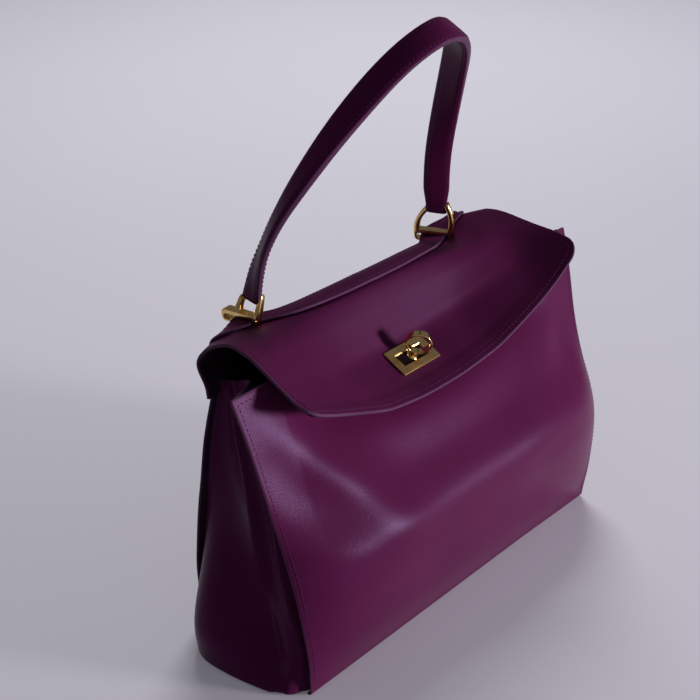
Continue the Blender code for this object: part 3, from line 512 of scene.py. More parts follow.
def frontGrid(columns, rows, edgeShare=1.0):
    # the middle line and the side edge, mixed across the width, plus the push at the right end
    w = frontWall
    middle = [(b * w["halfDepth"], w["bottom"] + h * (lock["z"] - w["bottom"])) for b, h in frontMiddle]
    middle += [tuple(lockMiddle - lockOut * lock["panelDown"] + lockForward * s * lock["plateDepth"])
               for s in levelSteps]
    side = [(b * w["halfDepth"], w["bottom"] + h * (w["earHeight"] - w["bottom"])) for b, h in frontSide]
    middle, side = throughPoints(middle, rows), throughPoints(side, rows)
    up = np.linspace(0, 1, rows)[:, None]
    across = columns[None, :] * edgeShare
    x = across * (w["baseWidth"] + (w["earWidth"] - w["baseWidth"]) * up ** 1.3) / 2
    low = np.abs(across) ** 6
    high = np.clip((np.abs(x) - w["flat"]) / (w["blend"] - w["flat"]), 0, 1) ** 1.5
    mix = low + (high - low) * smoothStep(up, 0.40, 0.75)
    y = middle[:, 0:1] + (side[:, 0:1] - middle[:, 0:1]) * mix
    z = middle[:, 1:2] + (side[:, 1:2] - middle[:, 1:2]) * mix
    right = smoothStep(across, 0.45, 1.0)
    low = right * hill(z, 0.068, 0.052)
    high = right * hill(z, 0.165, 0.045)
    # the ridge: a soft fold that climbs from below the lock to each top corner
    ridge = w["ridgeLow"] + w["ridgeRise"] * (np.abs(x) / 0.16) ** 2.2
    fold = hill(np.abs(x), w["ridgeOut"], w["ridgeLength"]) * hill(z, ridge, w["ridgeWidth"])
    y = y - low * w["bulgeForward"] - fold * np.where(x < 0, w["ridgeLeft"], w["ridgeRight"])
    return np.stack([x + low * w["bulgeOut"] + high * w["earOut"], y, z + 0 * x], axis=2)


def rolledUnder(grid, radius, steps=7):
    # rows below the first one: a quarter circle that turns in under the bag
    normals = gridNormals(grid)[0]
    inward = -unit(normals * np.array([1.0, 1.0, 0.0]))
    a = np.linspace(1.45, 0, steps, endpoint=False)[:, None, None]
    down = np.array([0, 0, -1.0])
    rows = grid[0] + inward * radius * (1 - np.cos(a)) + down * radius * np.sin(a)
    return np.concatenate([rows, grid])


def makeFrontWall():
    # the front surface, with its lower edge turned in under the bag
    grid = rolledUnder(frontGrid(spreadColumns(171), 131), frontWall["rollRadius"])
    piece = leatherSheet("frontWall", grid, frontWall["thick"], leatherSet)
    place(piece, "bag_body", "plum_leather", "front_panel")


makeFrontWall()


# Back wall

backWall = {"thick": 0.0018, "baseWidth": 0.286, "topWidth": 0.248, "height": 0.169,
            "drawIn": 0.0030, "sideForward": 0.0050, "sideBack": 0.0006, "cornerCut": 0.026,
            "uneven": 0.0009}
backLineShares = ((0.985, 0.0), (1.03, 0.17), (1.04, 0.36), (1.02, 0.54), (0.95, 0.72),
                  (0.87, 0.84), (0.815, 0.92), (0.800, 0.965), (0.815, 1.0))


def backGrid(columns, rows):
    # one outline for the whole width, narrowing towards the top
    w = backWall
    bottom = frontWall["bottom"]
    tall = w["height"] - bottom
    line = throughPoints([(b * frontWall["halfDepth"], bottom + h * tall) for b, h in backLineShares], rows)
    up = (line[:, 1:2] - bottom) / tall
    side = smoothStep(np.abs(columns), 0.84, 1.0)[None, :]
    low = side * (1 - smoothStep(up, 0.0, 0.75))
    high = side * smoothStep(up, 0.55, 0.95)
    x = -columns[None, :] * ((w["baseWidth"] + (w["topWidth"] - w["baseWidth"]) * up) / 2 - w["drawIn"] * low)
    y = line[:, 0:1] - w["sideForward"] * (side - high) + w["sideBack"] * high
    return np.stack([x, y, line[:, 1:2] + 0 * x], axis=2)


def makeBackWall():
    # the back surface, a little uneven in the middle: depth + uneven * noise * cos^2
    grid = backGrid(spreadColumns(121), 101)
    x, y, z = grid[..., 0], grid[..., 1], grid[..., 2]
    middle = np.cos(np.clip(x / 0.125, -1, 1) * math.pi / 2) ** 2
    grid[..., 1] += backWall["uneven"] * softNoise(x, y, z, 0.09, 5) * middle * smoothStep(z, 0.004, 0.04)
    # its low corners are cut round
    corner = smoothStep(np.abs(x), 0.11, 0.14) * (1 - smoothStep(z, 0.006, 0.05))
    grid[..., 0] *= 1 - backWall["cornerCut"] * corner
    grid = rolledUnder(grid, frontWall["rollRadius"])
    piece = leatherSheet("backWall", grid, backWall["thick"], leatherSet)
    place(piece, "bag_body", "plum_leather", "back_panel")


makeBackWall()


# Folded ends, bellied out low down and folded in at the top

endWall = {"thick": 0.0016, "seamSpace": 0.0016, "edgeShare": 0.975, "sharp": 1.7, "round": 2.6,
           "stripWidth": 0.0054, "stripThick": 0.0011, "stripOut": 0.0006}
# by height: how far back each fold lies (0 front seam, 1 back seam) and how far out, in mm
foldHeights = (0.003, 0.018, 0.031, 0.047, 0.064, 0.078, 0.102, 0.122, 0.150, 0.180)
foldPlaces = (
    (0.015, 0.04, 0.10, 0.18, 0.64), (0.02, 0.05, 0.11, 0.20, 0.66), (0.02, 0.055, 0.14, 0.26, 0.67),
    (0.04, 0.085, 0.19, 0.31, 0.68), (0.08, 0.20, 0.28, 0.37, 0.71), (0.11, 0.26, 0.36, 0.46, 0.74),
    (0.13, 0.29, 0.43, 0.55, 0.77), (0.16, 0.34, 0.48, 0.61, 0.80), (0.26, 0.50, 0.60, 0.70, 0.85),
    (0.36, 0.62, 0.70, 0.77, 0.88))
foldsOut = (
    (4.0, 9.5, 15.0, 20.0, 26.5), (0.5, 4.0, 9.0, 6.5, 30.0), (-1.5, 4.0, 8.0, 4.5, 26.0),
    (-4.0, 4.0, 5.5, 4.0, 18.0), (-7.0, 2.5, -0.5, 3.5, 9.0), (-10.0, 0.0, -4.5, 1.5, 2.0),
    (-14.0, -4.0, -8.5, -1.0, -6.0), (-16.0, -5.5, -10.0, -3.5, -7.5), (-17.0, -6.0, -9.5, -3.0, -6.5),
    (-17.0, -6.0, -9.0, -3.0, -5.0))


def foldedOut(height, steps):
    # each row runs seam, gap, petal, dip, crease, belly, seam. Between a low point and its
    # neighbour: low + (neighbour - low) * share^sharp, so creases are sharp and hollows round
    tables = [np.array([np.interp(height, foldHeights, column) for column in zip(*table)]).T
              for table in (foldPlaces, foldsOut)]
    places, outs = blurRows(tables[0], 3), blurRows(tables[1], 3) / 1000
    zero = np.zeros((len(height), 1))
    places = np.concatenate([zero, places, zero + 1], axis=1)
    outs = np.concatenate([zero, outs, zero], axis=1)
    result = np.zeros((len(height), len(steps)))
    for k in range(6):
        low, far = (k + 1, k) if k % 2 == 0 else (k, k + 1)
        start, reach = places[:, low:low + 1], places[:, far:far + 1] - places[:, low:low + 1]
        share = np.clip((steps[None, :] - start) / reach, 0, 1)
        share = share ** (endWall["round"] if k == 5 else endWall["sharp"])
        curve = outs[:, low:low + 1] + (outs[:, far:far + 1] - outs[:, low:low + 1]) * share
        inside = (steps[None, :] >= places[:, k:k + 1]) & (steps[None, :] <= places[:, k + 1:k + 2])
        result = np.where(inside, curve, result)
    return result


def endSeams(sideSign, rows):
    # where the end wall meets the front wall and the back wall, from bottom to top
    edge = np.array([-1.0, -endWall["edgeShare"], -0.95]) * -sideSign
    columns = edge if sideSign < 0 else edge[::-1]
    front = frontGrid(columns, rows)
    frontLine = (front - gridNormals(front) * (frontWall["thick"] + endWall["seamSpace"]))[:, 1]
    back = backGrid(-columns[::-1], rows)
    backLine = (back - gridNormals(back) * (backWall["thick"] + endWall["seamSpace"]))[:, 1]
    frontLine[0, 2] = backLine[0, 2] = frontWall["bottom"]
    return frontLine, backLine


def endGrid(sideSign, rows, count):
    # straight lines from the front seam to the back seam, pushed outwards by the folds
    frontLine, backLine = endSeams(sideSign, rows)
    steps = spreadSteps(count)
    grid = frontLine[:, None, :] + (backLine - frontLine)[:, None, :] * steps[None, :, None]
    out = foldedOut((frontLine[:, 2] + backLine[:, 2]) / 2, steps)
    grid[:, :, 0] += sideSign * out
    grid[:, :, 0] = blurRows(blurRows(grid[:, :, 0], 1).T, 1).T
    return grid


def spreadSteps(count):
    # 0 to 1, closer together near the front seam, where the folds are
    ramp = np.linspace(0, 1, count)
    return ramp ** 1.35


def makeEndWall(name, sideSign, cadNode):
    # the folded surface; the left one is flipped, so that it faces out
    grid = endGrid(sideSign, 111, 121)
    if sideSign < 0:
        grid = grid[:, ::-1]
    grid = rolledUnder(grid, frontWall["rollRadius"])
    piece = leatherSheet(name, grid, endWall["thick"], leatherSet)
    place(piece, "bag_body", "plum_leather", cadNode)


makeEndWall("leftEnd", -1, "left_gusset")
makeEndWall("rightEnd", 1, "right_gusset")


def makeSeamStrip(name, sideSign):
    # the end wall's border: a narrow strip that runs back from the front seam, over the folds
    frontLine, backLine = endSeams(sideSign, 111)
    way = unit(backLine - frontLine)
    outward = np.array([sideSign, 0, 0])
    steps = np.linspace(-0.0006, endWall["stripWidth"], 7)
    dip = np.array([0.0, 0.0, -0.0003, -0.0007, -0.0012, -0.0018, -0.0025])
    lift = outward * (endWall["stripOut"] + dip)[None, :, None]
    grid = frontLine[:, None] + way[:, None] * steps[None, :, None] + lift
    if sideSign < 0:
        grid = grid[:, ::-1]
    piece = leatherSheet(name, grid[1:-1], endWall["stripThick"], [plumLeather, edgePaint, plumLeather])
    place(piece, "bag_body", "plum_leather")


makeSeamStrip("leftSeamStrip", -1)
makeSeamStrip("rightSeamStrip", 1)
print("walls made")


# Base: a leather plate with rounded edges inside the turned-in walls

baseProfile = ((0.030, 0.0), (0.0052, 0.0), (0.0040, 0.0005), (0.0036, 0.0014), (0.0040, 0.0026),
               (0.0052, 0.0030), (0.030, 0.0030))
boardProfile = ((0.0085, 0.0033), (0.0085, 0.0053))


def makeBase():
    # the walls' lower outline, set in by the first number of each pair at the height of the second
    right = endGrid(1, 19, 41)[0, :, :2]
    outline = np.concatenate([right, (right * [-1, 1])[::-1]])
    outline = evenLine(np.concatenate([outline, outline[:1]]), 181)[:-1]
    way = np.roll(outline, -1, axis=0) - np.roll(outline, 1, axis=0)
    outward = unit(np.stack([way[:, 1], -way[:, 0]], axis=1))
    for name, profile, material, slot, cadNode in (
            ("baseLeather", baseProfile, plumLeather, "plum_leather", "base_panel"),
            ("baseBoard", boardProfile, boardMaterial, "stiffener_board", "base_stiffener")):
        rings = [np.column_stack([outline - outward * inset, np.full(len(outline), height)])
                 for inset, height in profile]
        piece = ringPiece(name, rings, [material], sharpAngle=50)
        place(piece, "bag_body", slot, cadNode)


makeBase()


# Lining: an open cup of cloth that hangs inside

liningCup = {"length": 0.264, "depth": 0.094, "height": 0.131, "thick": 0.0010, "bottom": 0.0056,
             "power": 5.0, "ripple": 0.0006}
liningSteps = (0.0, 0.18, 0.42, 0.65, 0.84, 1.0)
liningLengths = (1.0, 0.985, 0.955, 0.925, 0.90, 0.885)
liningFronts = (-0.98, -1.03, -1.00, -0.82, -0.63, -0.46)
liningBacks = (0.98, 1.02, 1.01, 0.97, 0.92, 0.86)


def makeLining():
    # rings |cos a|^p and |sin a|^p, outside upwards and then inside downwards, a little rippled
    w = liningCup
    count = 160
    a = np.linspace(0, 2 * math.pi, count, endpoint=False)
    power = 2 / w["power"]
    ringX = np.sign(np.cos(a)) * np.abs(np.cos(a)) ** power
    ringY = np.sign(np.sin(a)) * np.abs(np.sin(a)) ** power
    table = throughPoints(np.array([liningSteps, liningLengths, liningFronts, liningBacks]).T, 41)
    rows = []
    for inset, order in ((0.0, table), (w["thick"], table[::-1])):
        for step, length, front, back in order:
            low = front * w["depth"] / 2 + inset
            high = back * w["depth"] / 2 - inset
            half = length * w["length"] / 2 - inset
            z = w["bottom"] + step * w["height"] + (inset if step < 0.001 else 0.0)
            ripple = w["ripple"] * np.sin(9 * a + 5 * step) * smoothStep(step, 0.1, 0.9)
            rows.append(np.column_stack([ringX * (half + ripple), (low + high) / 2
                                         + ringY * ((high - low) / 2 + ripple), np.full(count, z)]))
    piece = ringPiece("clothLining", rows, [liningCloth], sharpAngle=60)
    place(piece, "bag_body", "lining_fabric", "lining")


makeLining()
print("base and lining made")


# Top leather: one sheet from low on the back, over the ridge, and down as the flap

topLeather = {"thick": 0.0020, "width": 0.265, "hingeZ": 0.1965, "corner": 0.0085, "bendStart": 0.023,
              "bendEnd": 0.009, "backKnots": 10, "soften": 0.007, "rightFurther": 0.0015}
# (back, up) in mm: from the low back edge over the ridge, then down the flap to its front edge
topMiddle = (
    (46.7, 160.0), (47.9, 166.0), (49.0, 172.8), (49.2, 179.6), (47.0, 186.2), (42.9, 192.2),
    (38.0, 196.4), (32.4, 198.9), (25.4, 199.6), (18.2, 198.5), (13.0, 189.5), (9.9, 180.4),
    (6.4, 170.6), (0.6, 160.3), (-18.8, 150.7), (-26.3, 148.8), (-35.0, 146.5))
topShoulder = (
    (46.0, 160.5), (48.6, 168.5), (51.4, 176.5), (53.0, 183.5), (52.2, 189.4), (48.0, 193.6),
    (41.0, 195.0), (33.5, 196.2), (25.0, 198.6), (15.5, 199.4), (7.4, 196.5), (1.6, 190.6),
    (-4.4, 184.0), (-11.5, 176.6), (-26.0, 169.2), (-33.0, 167.4), (-39.5, 165.9))
topTongue = (
    (41.0, 162.5), (44.0, 170.5), (48.5, 178.0), (51.0, 184.6), (49.6, 190.6), (44.6, 194.6),
    (37.0, 198.0), (29.0, 200.6), (21.0, 202.2), (13.0, 202.0), (4.2, 200.0), (-2.8, 195.6),
    (-9.8, 190.4), (-17.5, 185.0), (-30.0, 179.6), (-36.0, 178.2), (-41.8, 177.4))
topLeftEnd = (
    (38.5, 164.0), (40.0, 171.5), (44.8, 178.5), (46.4, 184.8), (43.0, 191.4), (36.8, 197.3),
    (29.2, 202.2), (21.8, 205.4), (15.0, 206.2), (8.6, 205.2), (1.1, 203.2), (-6.4, 199.8),
    (-14.6, 195.6), (-23.7, 191.0), (-33.0, 186.8), (-39.0, 185.6), (-44.0, 185.4))
topRightEnd = (
    (38.5, 166.0), (40.5, 173.5), (45.0, 180.5), (46.2, 187.4), (43.6, 196.2), (37.6, 201.8),
    (30.0, 203.8), (22.5, 204.4), (15.0, 204.2), (8.6, 203.6), (1.0, 203.0), (-7.0, 202.4),
    (-15.0, 202.0), (-23.0, 201.4), (-31.0, 200.0), (-36.5, 198.6), (-41.0, 197.0))
# how much of each change below falls on the back's ten points
backShares = np.array([0, 0, 0.3, 0.7, 1, 1, 1, 1, 0.7, 0.35])
tongueShares = np.array([0, 0, 0.2, 0.5, 0.9, 1, 0.8, 0.4, 0.1, 0])
rightSide = {"tongueUp": 0.0036, "shoulderDown": 0.0030, "beyondUp": 0.0052}
topPlaces = (-0.1325, -0.118, -0.090, -0.055, -0.018, 0.018, 0.055, 0.088, 0.106, 0.118, 0.1325)


def topStations():
    # the sections along the bag's length; between the middle and the shoulder it drops early,
    # and on the right it dips under the loop and stands up again beyond it
    middle, shoulder, tongue, left, right = (np.array(line) / 1000 for line in (
        topMiddle, topShoulder, topTongue, topLeftEnd, topRightEnd))
    early = middle * 0.72 + shoulder * 0.28
    rightTongue = tongue + (right - left) * 0.6
    rightTongue[:10, 1] += rightSide["tongueUp"] * tongueShares
    rightShoulder = shoulder + (right - left) * 0.2 - [0, 0.0014]
    rightShoulder[:10, 1] -= rightSide["shoulderDown"] * backShares
    beyond = (rightShoulder + rightTongue) / 2
    beyond[:10, 1] += rightSide["beyondUp"] * backShares
    return np.array([left, tongue, shoulder, early, middle, middle, early, rightShoulder, beyond,
                     rightTongue, right])


def topGrid(columns, flapRows, backRows):
    # every section is a smooth curve through its points; along the length they are mixed
    # in straight steps and then blurred, so the sheet bends both ways and never kinks
    w = topLeather
    stations = topStations()
    knots = stations.shape[1]
    ridgeKnot = w["backKnots"] - 1
    where = np.concatenate([np.linspace(0, ridgeKnot, backRows, endpoint=False),
                            np.linspace(ridgeKnot, knots - 1, flapRows)])
    dense = np.linspace(-w["width"] / 2, w["width"] / 2, 267)
    table = np.array([[np.interp(dense, topPlaces, stations[:, k, c]) for c in range(2)]
                      for k in range(knots)])
    table = blurRows(table.transpose(2, 0, 1), int(w["soften"] / (dense[1] - dense[0])))
    x = columns * w["width"] / 2
    atX = np.array([[np.interp(x, dense, table[:, k, c]) for c in range(2)] for k in range(knots)])
    whole = throughPoints(atX.reshape(knots, -1), where).reshape(len(where), 2, len(x)).transpose(0, 2, 1)
    whole = blurRows(whole, 2)
    beyond = np.clip(np.abs(x) - (w["width"] / 2 - w["corner"]), 0, w["corner"])
    cut = w["corner"] - np.sqrt(np.maximum(w["corner"] ** 2 - beyond ** 2, 0))
    flapPart = whole[backRows:]
    for j in range(len(x)):
        step = np.concatenate([[0], np.cumsum(np.linalg.norm(np.diff(flapPart[:, j], axis=0), axis=1))])
        kept = step * (1 - cut[j] / step[-1])
        whole[backRows:, j] = np.stack([np.interp(kept, step, flapPart[:, j, k]) for k in range(2)], axis=1)
    across = np.broadcast_to(x[None, :, None], whole.shape[:2] + (1,))
    across = across + w["rightFurther"] * smoothStep(across, 0.08, w["width"] / 2)
    return np.concatenate([across, whole], axis=2)


# the sheet's rows, from the low back edge, and where its stitches, facing and yoke begin or end
topRows = {"back": 60, "flap": 96, "stitches": 64, "facing": 66, "underYoke": 120}
topSheet = topGrid(spreadColumns(171, 0.6)[::-1], topRows["flap"], topRows["back"])


def makeTopLeather():
    # the sheet bends between bag and flap, and a thin facing lies under the flap
    piece = leatherSheet("topLeather", topSheet, topLeather["thick"], flapSet, 7)
    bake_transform(piece)
    place(piece, None, "plum_leather", "top_panel", "flap")
    under = topSheet - gridNormals(topSheet) * (topLeather["thick"] + 0.0003)
    facing = under[topRows["facing"]:-4, 6:-6]
    piece = leatherSheet("flapFacing", facing, 0.0008, [facingLeather] * 3)
    place(piece, "flap_body", "lining_leather", "flap_lining")


makeTopLeather()


def insetLine(grid, inset):
    # a line that runs round the grid's edge at one distance from it, with its normals
    normals = gridNormals(grid)
    rows, columns, _ = grid.shape
    rim = rimIndex(rows, columns)
    edge = grid.reshape(-1, 3)[rim]
    normal = normals.reshape(-1, 3)[rim]
    along = np.roll(edge, -3, axis=0) - np.roll(edge, 3, axis=0)
    outward = unit(np.cross(along, normal))
    return edge - outward * inset, normal


def makeTopStitches():
    # along the flap's two sides and its front edge
    flapPart = topSheet[topRows["stitches"]:]
    line, normal = insetLine(flapPart, stitch["flapInset"])
    count, columns = flapPart.shape[:2]
    stop = 2 * columns + 2 * count - 6
    line, normal = line[columns:stop], normal[columns:stop]
    piece = stitchRow("flapStitches", line, normal, None)
    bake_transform(piece)


makeTopStitches()
print("top leather made")


# Yoke: the strip over the bag's top whose two tongues carry the handle's loops

yoke = {"length": 0.237, "thick": 0.0020, "halfWidth": 0.0088, "back": 0.0298, "tongueBack": 0.0455,
        "above": 0.002472, "raisedLeft": 0.1980, "leftUp": 0.0002, "fuller": 0.38, "slimmer": 0.30,
        "rightLevels": ((0, 0.73, 0.78, 0.84, 0.92, 1.0), (0.1938, 0.1942, 0.1968, 0.1980, 0.1992, 0.2014))}
# along half its length: place, width, how far back, and how far it is lifted into the loop
yokeTable = np.array([
    (0.0, 0.22, 0.42, 0.55, 0.63, 0.70, 0.755, 0.82, 0.88, 0.94, 0.985, 1.0),
    (1.0, 1.0, 0.98, 0.94, 0.84, 0.76, 0.72, 0.71, 0.64, 0.54, 0.44, 0.34),
    (0.0, 0.02, 0.12, 0.30, 0.55, 0.84, 1.0, 1.02, 1.05, 1.08, 1.10, 1.10),
    (0.0, 0.0, 0.0, 0.10, 0.42, 0.88, 1.0, 0.90, 0.42, 0.10, 0.0, 0.0)]).T


def leatherHeight(x, y):
    # height of the top leather under each point: its sections cut at y, mixed along x
    across = topSheet[0, :, 0]
    order = np.argsort(across)
    crests = topSheet[:, :, 1].argmax(axis=0)
    result = np.zeros((len(x), y.shape[1]))
    end = topRows["underYoke"]
    for i, spot in enumerate(x):
        j = np.clip(np.searchsorted(across[order], spot), 1, len(order) - 1)
        left, right = order[j - 1], order[j]
        share = np.clip((spot - across[left]) / (across[right] - across[left]), 0, 1)
        cuts = [np.interp(y[i], topSheet[crests[c]:end, c, 1][::-1], topSheet[crests[c]:end, c, 2][::-1])
                for c in (left, right)]
        result[i] = cuts[0] * (1 - share) + cuts[1] * share
    return result


def yokeGrid(stations, rows):
    # laid on the top leather and, at the loops, lifted off it to the loop's own height
    half = throughPoints(yokeTable, stations)
    table = np.concatenate([half[:0:-1] * [-1, 1, 1, 1], half])
    x = table[:, 0] * yoke["length"] / 2
    along = table[:, 0]
    more = yoke["fuller"] * smoothStep(along, 0.60, 0.74) - yoke["slimmer"] * smoothStep(along, 0.76, 0.92)
    wide = yoke["halfWidth"] * table[:, 1] * (1 + more)
    middle = yoke["back"] + (yoke["tongueBack"] - yoke["back"]) * table[:, 2]
    lift = np.clip(table[:, 3:4], 0, 1)
    y = middle[:, None] + wide[:, None] * np.linspace(-1, 1, rows)[None, :]
    resting = blurRows(leatherHeight(x, y) + yoke["above"], 2)
    raised = np.where(x < 0, yoke["raisedLeft"], np.interp(along, *yoke["rightLevels"]))[:, None]
    lift = np.maximum(lift, smoothStep(along, 0.66, 0.75)[:, None])
    z = np.maximum(resting + (raised - resting) * lift, resting) + np.where(x < 0, yoke["leftUp"], 0)[:, None]
    return np.stack([np.broadcast_to(x[:, None], y.shape), y, z], axis=2).transpose(1, 0, 2)


def makeYoke():
    # the strip, with a row of stitches along the front and back of its middle part
    grid = yokeGrid(76, 19)
    piece = leatherSheet("yokeLeather", grid, yoke["thick"], flapSet, 7)
    place(piece, "bag_body", "plum_leather", "yoke")
    line, normal = insetLine(grid, stitch["yokeInset"])
    side = grid.shape[1]
    reach = int(side * 0.14)
    for label, start in (("Front", 0), ("Back", side + grid.shape[0] - 1)):
        part = slice(start + reach, start + side - reach)
        stitchRow("yoke" + label + "Stitches", line[part], normal[part], "bag_body")


makeYoke()


# Handle: a flat padded strap, twisted a little at both feet

handle = {"footX": 0.0885, "footY": 0.0436, "footZ": 0.2120, "rise": 0.1530, "leanFoot": 0.0190,
          "leanTop": 0.0440, "width": 0.0166, "thick": 0.0066, "pinUp": 0.0038, "slimFoot": 0.30,
          "fall": 0.42, "narrowLeft": 0.12, "narrowRight": 0.18, "leftDown": 0.0022,
          "grooveDepth": 0.00022, "grooveWidth": 0.00045, "sideOut": 0.00025}
yaw = {"left": math.radians(-8), "right": math.radians(-25)}
# how far the strap is turned about its own line, in degrees, along it from the left foot
twistSteps = (0.0, 0.03, 0.065, 0.10, 0.14, 0.18, 0.26, 0.36, 0.45, 0.50,
              0.55, 0.64, 0.74, 0.82, 0.88, 0.93, 0.97, 1.0)
twistDegrees = (4.0, 22.0, 40.0, 43.0, 41.0, 34.0, 21.0, 3.0, 0.5, 0.0,
                -13.0, -21.0, -29.0, -38.0, -40.0, -39.0, -35.0, -30.0)
# how far the arch leans out of its even shape, in mm, by height
leanSteps = (0.0, 0.25, 0.5, 0.75, 0.93, 1.0)
leanLeft = (0.0, -1.2, 2.1, 2.7, 1.1, 1.3)
leanRight = (0.0, -3.1, -4.9, -3.8, 0.9, 1.3)
leanBack = (0.0, 0.2, -2.8, -3.4, -2.4, -2.4)


def handleLine(steps, shorten=0.0):
    # x falls off from the foot to the crown as a rounded arch, y leans forward with height
    w = handle
    reach = 1 - shorten / w["rise"]
    t = np.linspace(-math.sqrt(reach), math.sqrt(reach), steps)
    rise = 1 - t ** 2
    dense = np.linspace(-1, 1, 241)
    denseRise = 1 - dense ** 2
    left, right, back = (np.interp(denseRise, leanSteps, row) for row in (leanLeft, leanRight, leanBack))
    lean = blurRows(np.stack([np.where(dense < 0, left, right), back], axis=1), 7) / 1000
    lean *= smoothStep(denseRise, 0.0, 0.05)[:, None]
    x = np.sign(t) * w["footX"] * (1 - rise ** 1.3) ** 0.54 + np.interp(t, dense, lean[:, 0])
    y = w["footY"] - w["leanFoot"] * rise - w["leanTop"] * rise ** 2 + np.interp(t, dense, lean[:, 1])
    z = w["footZ"] + w["rise"] * rise - w["leftDown"] * (t < 0) * (1 - smoothStep(rise, 0.0, 0.12))
    path = np.stack([x, y, z], axis=1)
    slope = -(w["leanFoot"] + 2 * w["leanTop"] * rise) / w["rise"]
    wide = unit(np.stack([0 * slope, np.ones_like(slope), -slope], axis=1))
    way = unit(np.gradient(path, axis=0))
    out = -unit(np.cross(wide, way))
    wide = unit(np.cross(way, -out))
    length = np.concatenate([[0], np.cumsum(np.linalg.norm(np.diff(path, axis=0), axis=1))])
    length /= length[-1]
    turn = np.interp(np.linspace(0, 1, 301), twistSteps, twistDegrees)[:, None]
    turn = np.radians(np.interp(length, np.linspace(0, 1, 301), blurRows(turn, 4)[:, 0]))[:, None]
    # left leg climbs and right leg falls, so the same turn about Z changes sign between them
    sign = np.where(way[:, 2:3] >= 0, -1.0, 1.0)
    amount = turn * sign * np.abs(way[:, 2:3]) ** 0.5
    wideTurned = wide * np.cos(amount) + np.cross(way, wide) * np.sin(amount)
    outTurned = out * np.cos(amount) + np.cross(way, out) * np.sin(amount)
    near = np.minimum(length, 1 - length)
    slim = 1 - handle["slimFoot"] * smoothStep(0.25 - near, 0.0, 0.2)[:, None]
    tapered = np.where(length < 0.5, handle["narrowLeft"], handle["narrowRight"])
    narrow = 1 - (tapered * smoothStep(0.055 - near, 0.0, 0.045))[:, None]
    return path, wideTurned, outTurned, slim, narrow


def domeHeight(share):
    # half thickness across the strap: level in the middle, falling to the painted side
    return handle["thick"] / 2 * (1 - handle["fall"] * np.abs(share) ** 5)


def strapSection():
    # flat-domed top with a shallow stitch groove near each side, square painted sides
    half = handle["width"] / 2
    seam = half - stitch["handleInset"]
    top = []
    for share in np.linspace(1, -1, 41):
        groove = handle["grooveDepth"] * hill(abs(half * share), seam, handle["grooveWidth"])
        top.append((half * share, domeHeight(share) - groove))
    bottom = [(x, -y) for x, y in top[::-1]]
    side, out = domeHeight(1.0), half + handle["sideOut"]
    left = [(-out, side * k) for k in (0.5, -0.5)]
    right = [(out, side * k) for k in (-0.5, 0.5)]
    section = top + left + bottom + right
    kinds = []
    for k in range(len(section)):
        a, b = section[k], section[(k + 1) % len(section)]
        kinds.append(1 if min(abs(a[0]), abs(b[0])) > half * 0.97 else 0)
    return np.array(section), kinds


def makeHandle():
    # the strap, its filler and four rows of stitches
    section, kinds = strapSection()
    path, wide, out, slim, narrow = handleLine(241)
    sections = section[None] * np.concatenate([narrow, slim], axis=1)[:, None]
    piece = sweep("handleStrap", path, wide, out, sections, [plumLeather, edgePaint], kinds)
    place(piece, "handle_body", "plum_leather", "handle_strap", "handle_underside")
    inner = roundedRectangle(handle["width"] * 0.6, handle["thick"] * 0.45, 0.001)
    path, wide, out, slim, narrow = handleLine(101, 2 * handle["pinUp"])
    piece = sweep("handleFiller", path, wide, out, inner, [fillerMaterial])
    place(piece, "handle_body", "handle_filler", "handle_core")
    path, wide, out, slim, narrow = handleLine(201, 0.004)
    half = handle["width"] / 2
    reach = half - stitch["handleInset"]
    rise = domeHeight(reach / half) * slim - 0.0001
    for label, side, face in (("Front", -1, 1), ("Back", 1, 1), ("FrontUnder", -1, -1), ("BackUnder", 1, -1)):
        line = path + wide * side * reach * narrow + out * face * rise
        stitchRow("handle" + label + "Stitches", line, out * face, "handle_body")


makeHandle()
print("handle and yoke made")


# Stirrups with their pins

metal = {"pinRadius": 0.0012, "bossRadius": 0.0021, "bossLength": 0.0018, "bossStart": 0.0060,
         "loopLength": 0.0246, "loopHeight": 0.0064, "loopWall": 0.0015, "loopWidth": 0.0062,
         "loopCorner": 0.0029, "screwRadius": 0.0018, "screwThick": 0.0008, "pinTilt": math.radians(-15),
         "armTop": 0.0068, "armFront": 0.0112, "armWide": 0.0048, "armWider": 0.0012, "upperBand": 1.2}
# where each loop lies under its pin, how far back it is shifted, and how much its arms bow out
stirrupSides = {"left": {"pinDown": 0.0044, "loopHeightAt": 0.1975, "shift": 0.0040, "bow": 0.0006,
                         "aside": 0.0031, "armBack": 0.0020},
                "right": {"pinDown": 0.0, "loopHeightAt": 0.1932, "shift": 0.0, "bow": 0.0024,
                          "aside": 0.0016, "armBack": 0.0108}}


def stirrupFrame(label, sideSign):
    # the pin's middle, the level way along it, down to the loop, and sideways, with the yaw
    lean = math.atan(handle["leanFoot"] / handle["rise"])
    down = np.array([0, math.sin(lean), -math.cos(lean)])
    across = np.array([0, 1.0, 0])
    sideways = np.array([1.0, 0, 0])
    turn = yaw[label]
    turnedAcross = across * math.cos(turn) + sideways * math.sin(turn)
    turnedSide = sideways * math.cos(turn) - across * math.sin(turn)
    foot = np.array([sideSign * handle["footX"], handle["footY"], handle["footZ"]])
    middle = foot - down * (handle["pinUp"] - stirrupSides[label]["pinDown"])
    return middle, turnedAcross, down, turnedSide


def roundBar(radius, length, ease=0.0004):
    # a bar's profile with eased ends, as (radius, height) pairs
    return [(radius - ease, 0.0), (radius - ease * 0.3, ease * 0.3), (radius, ease), (radius, length - ease),
            (radius - ease * 0.3, length - ease * 0.3), (radius - ease, length)]


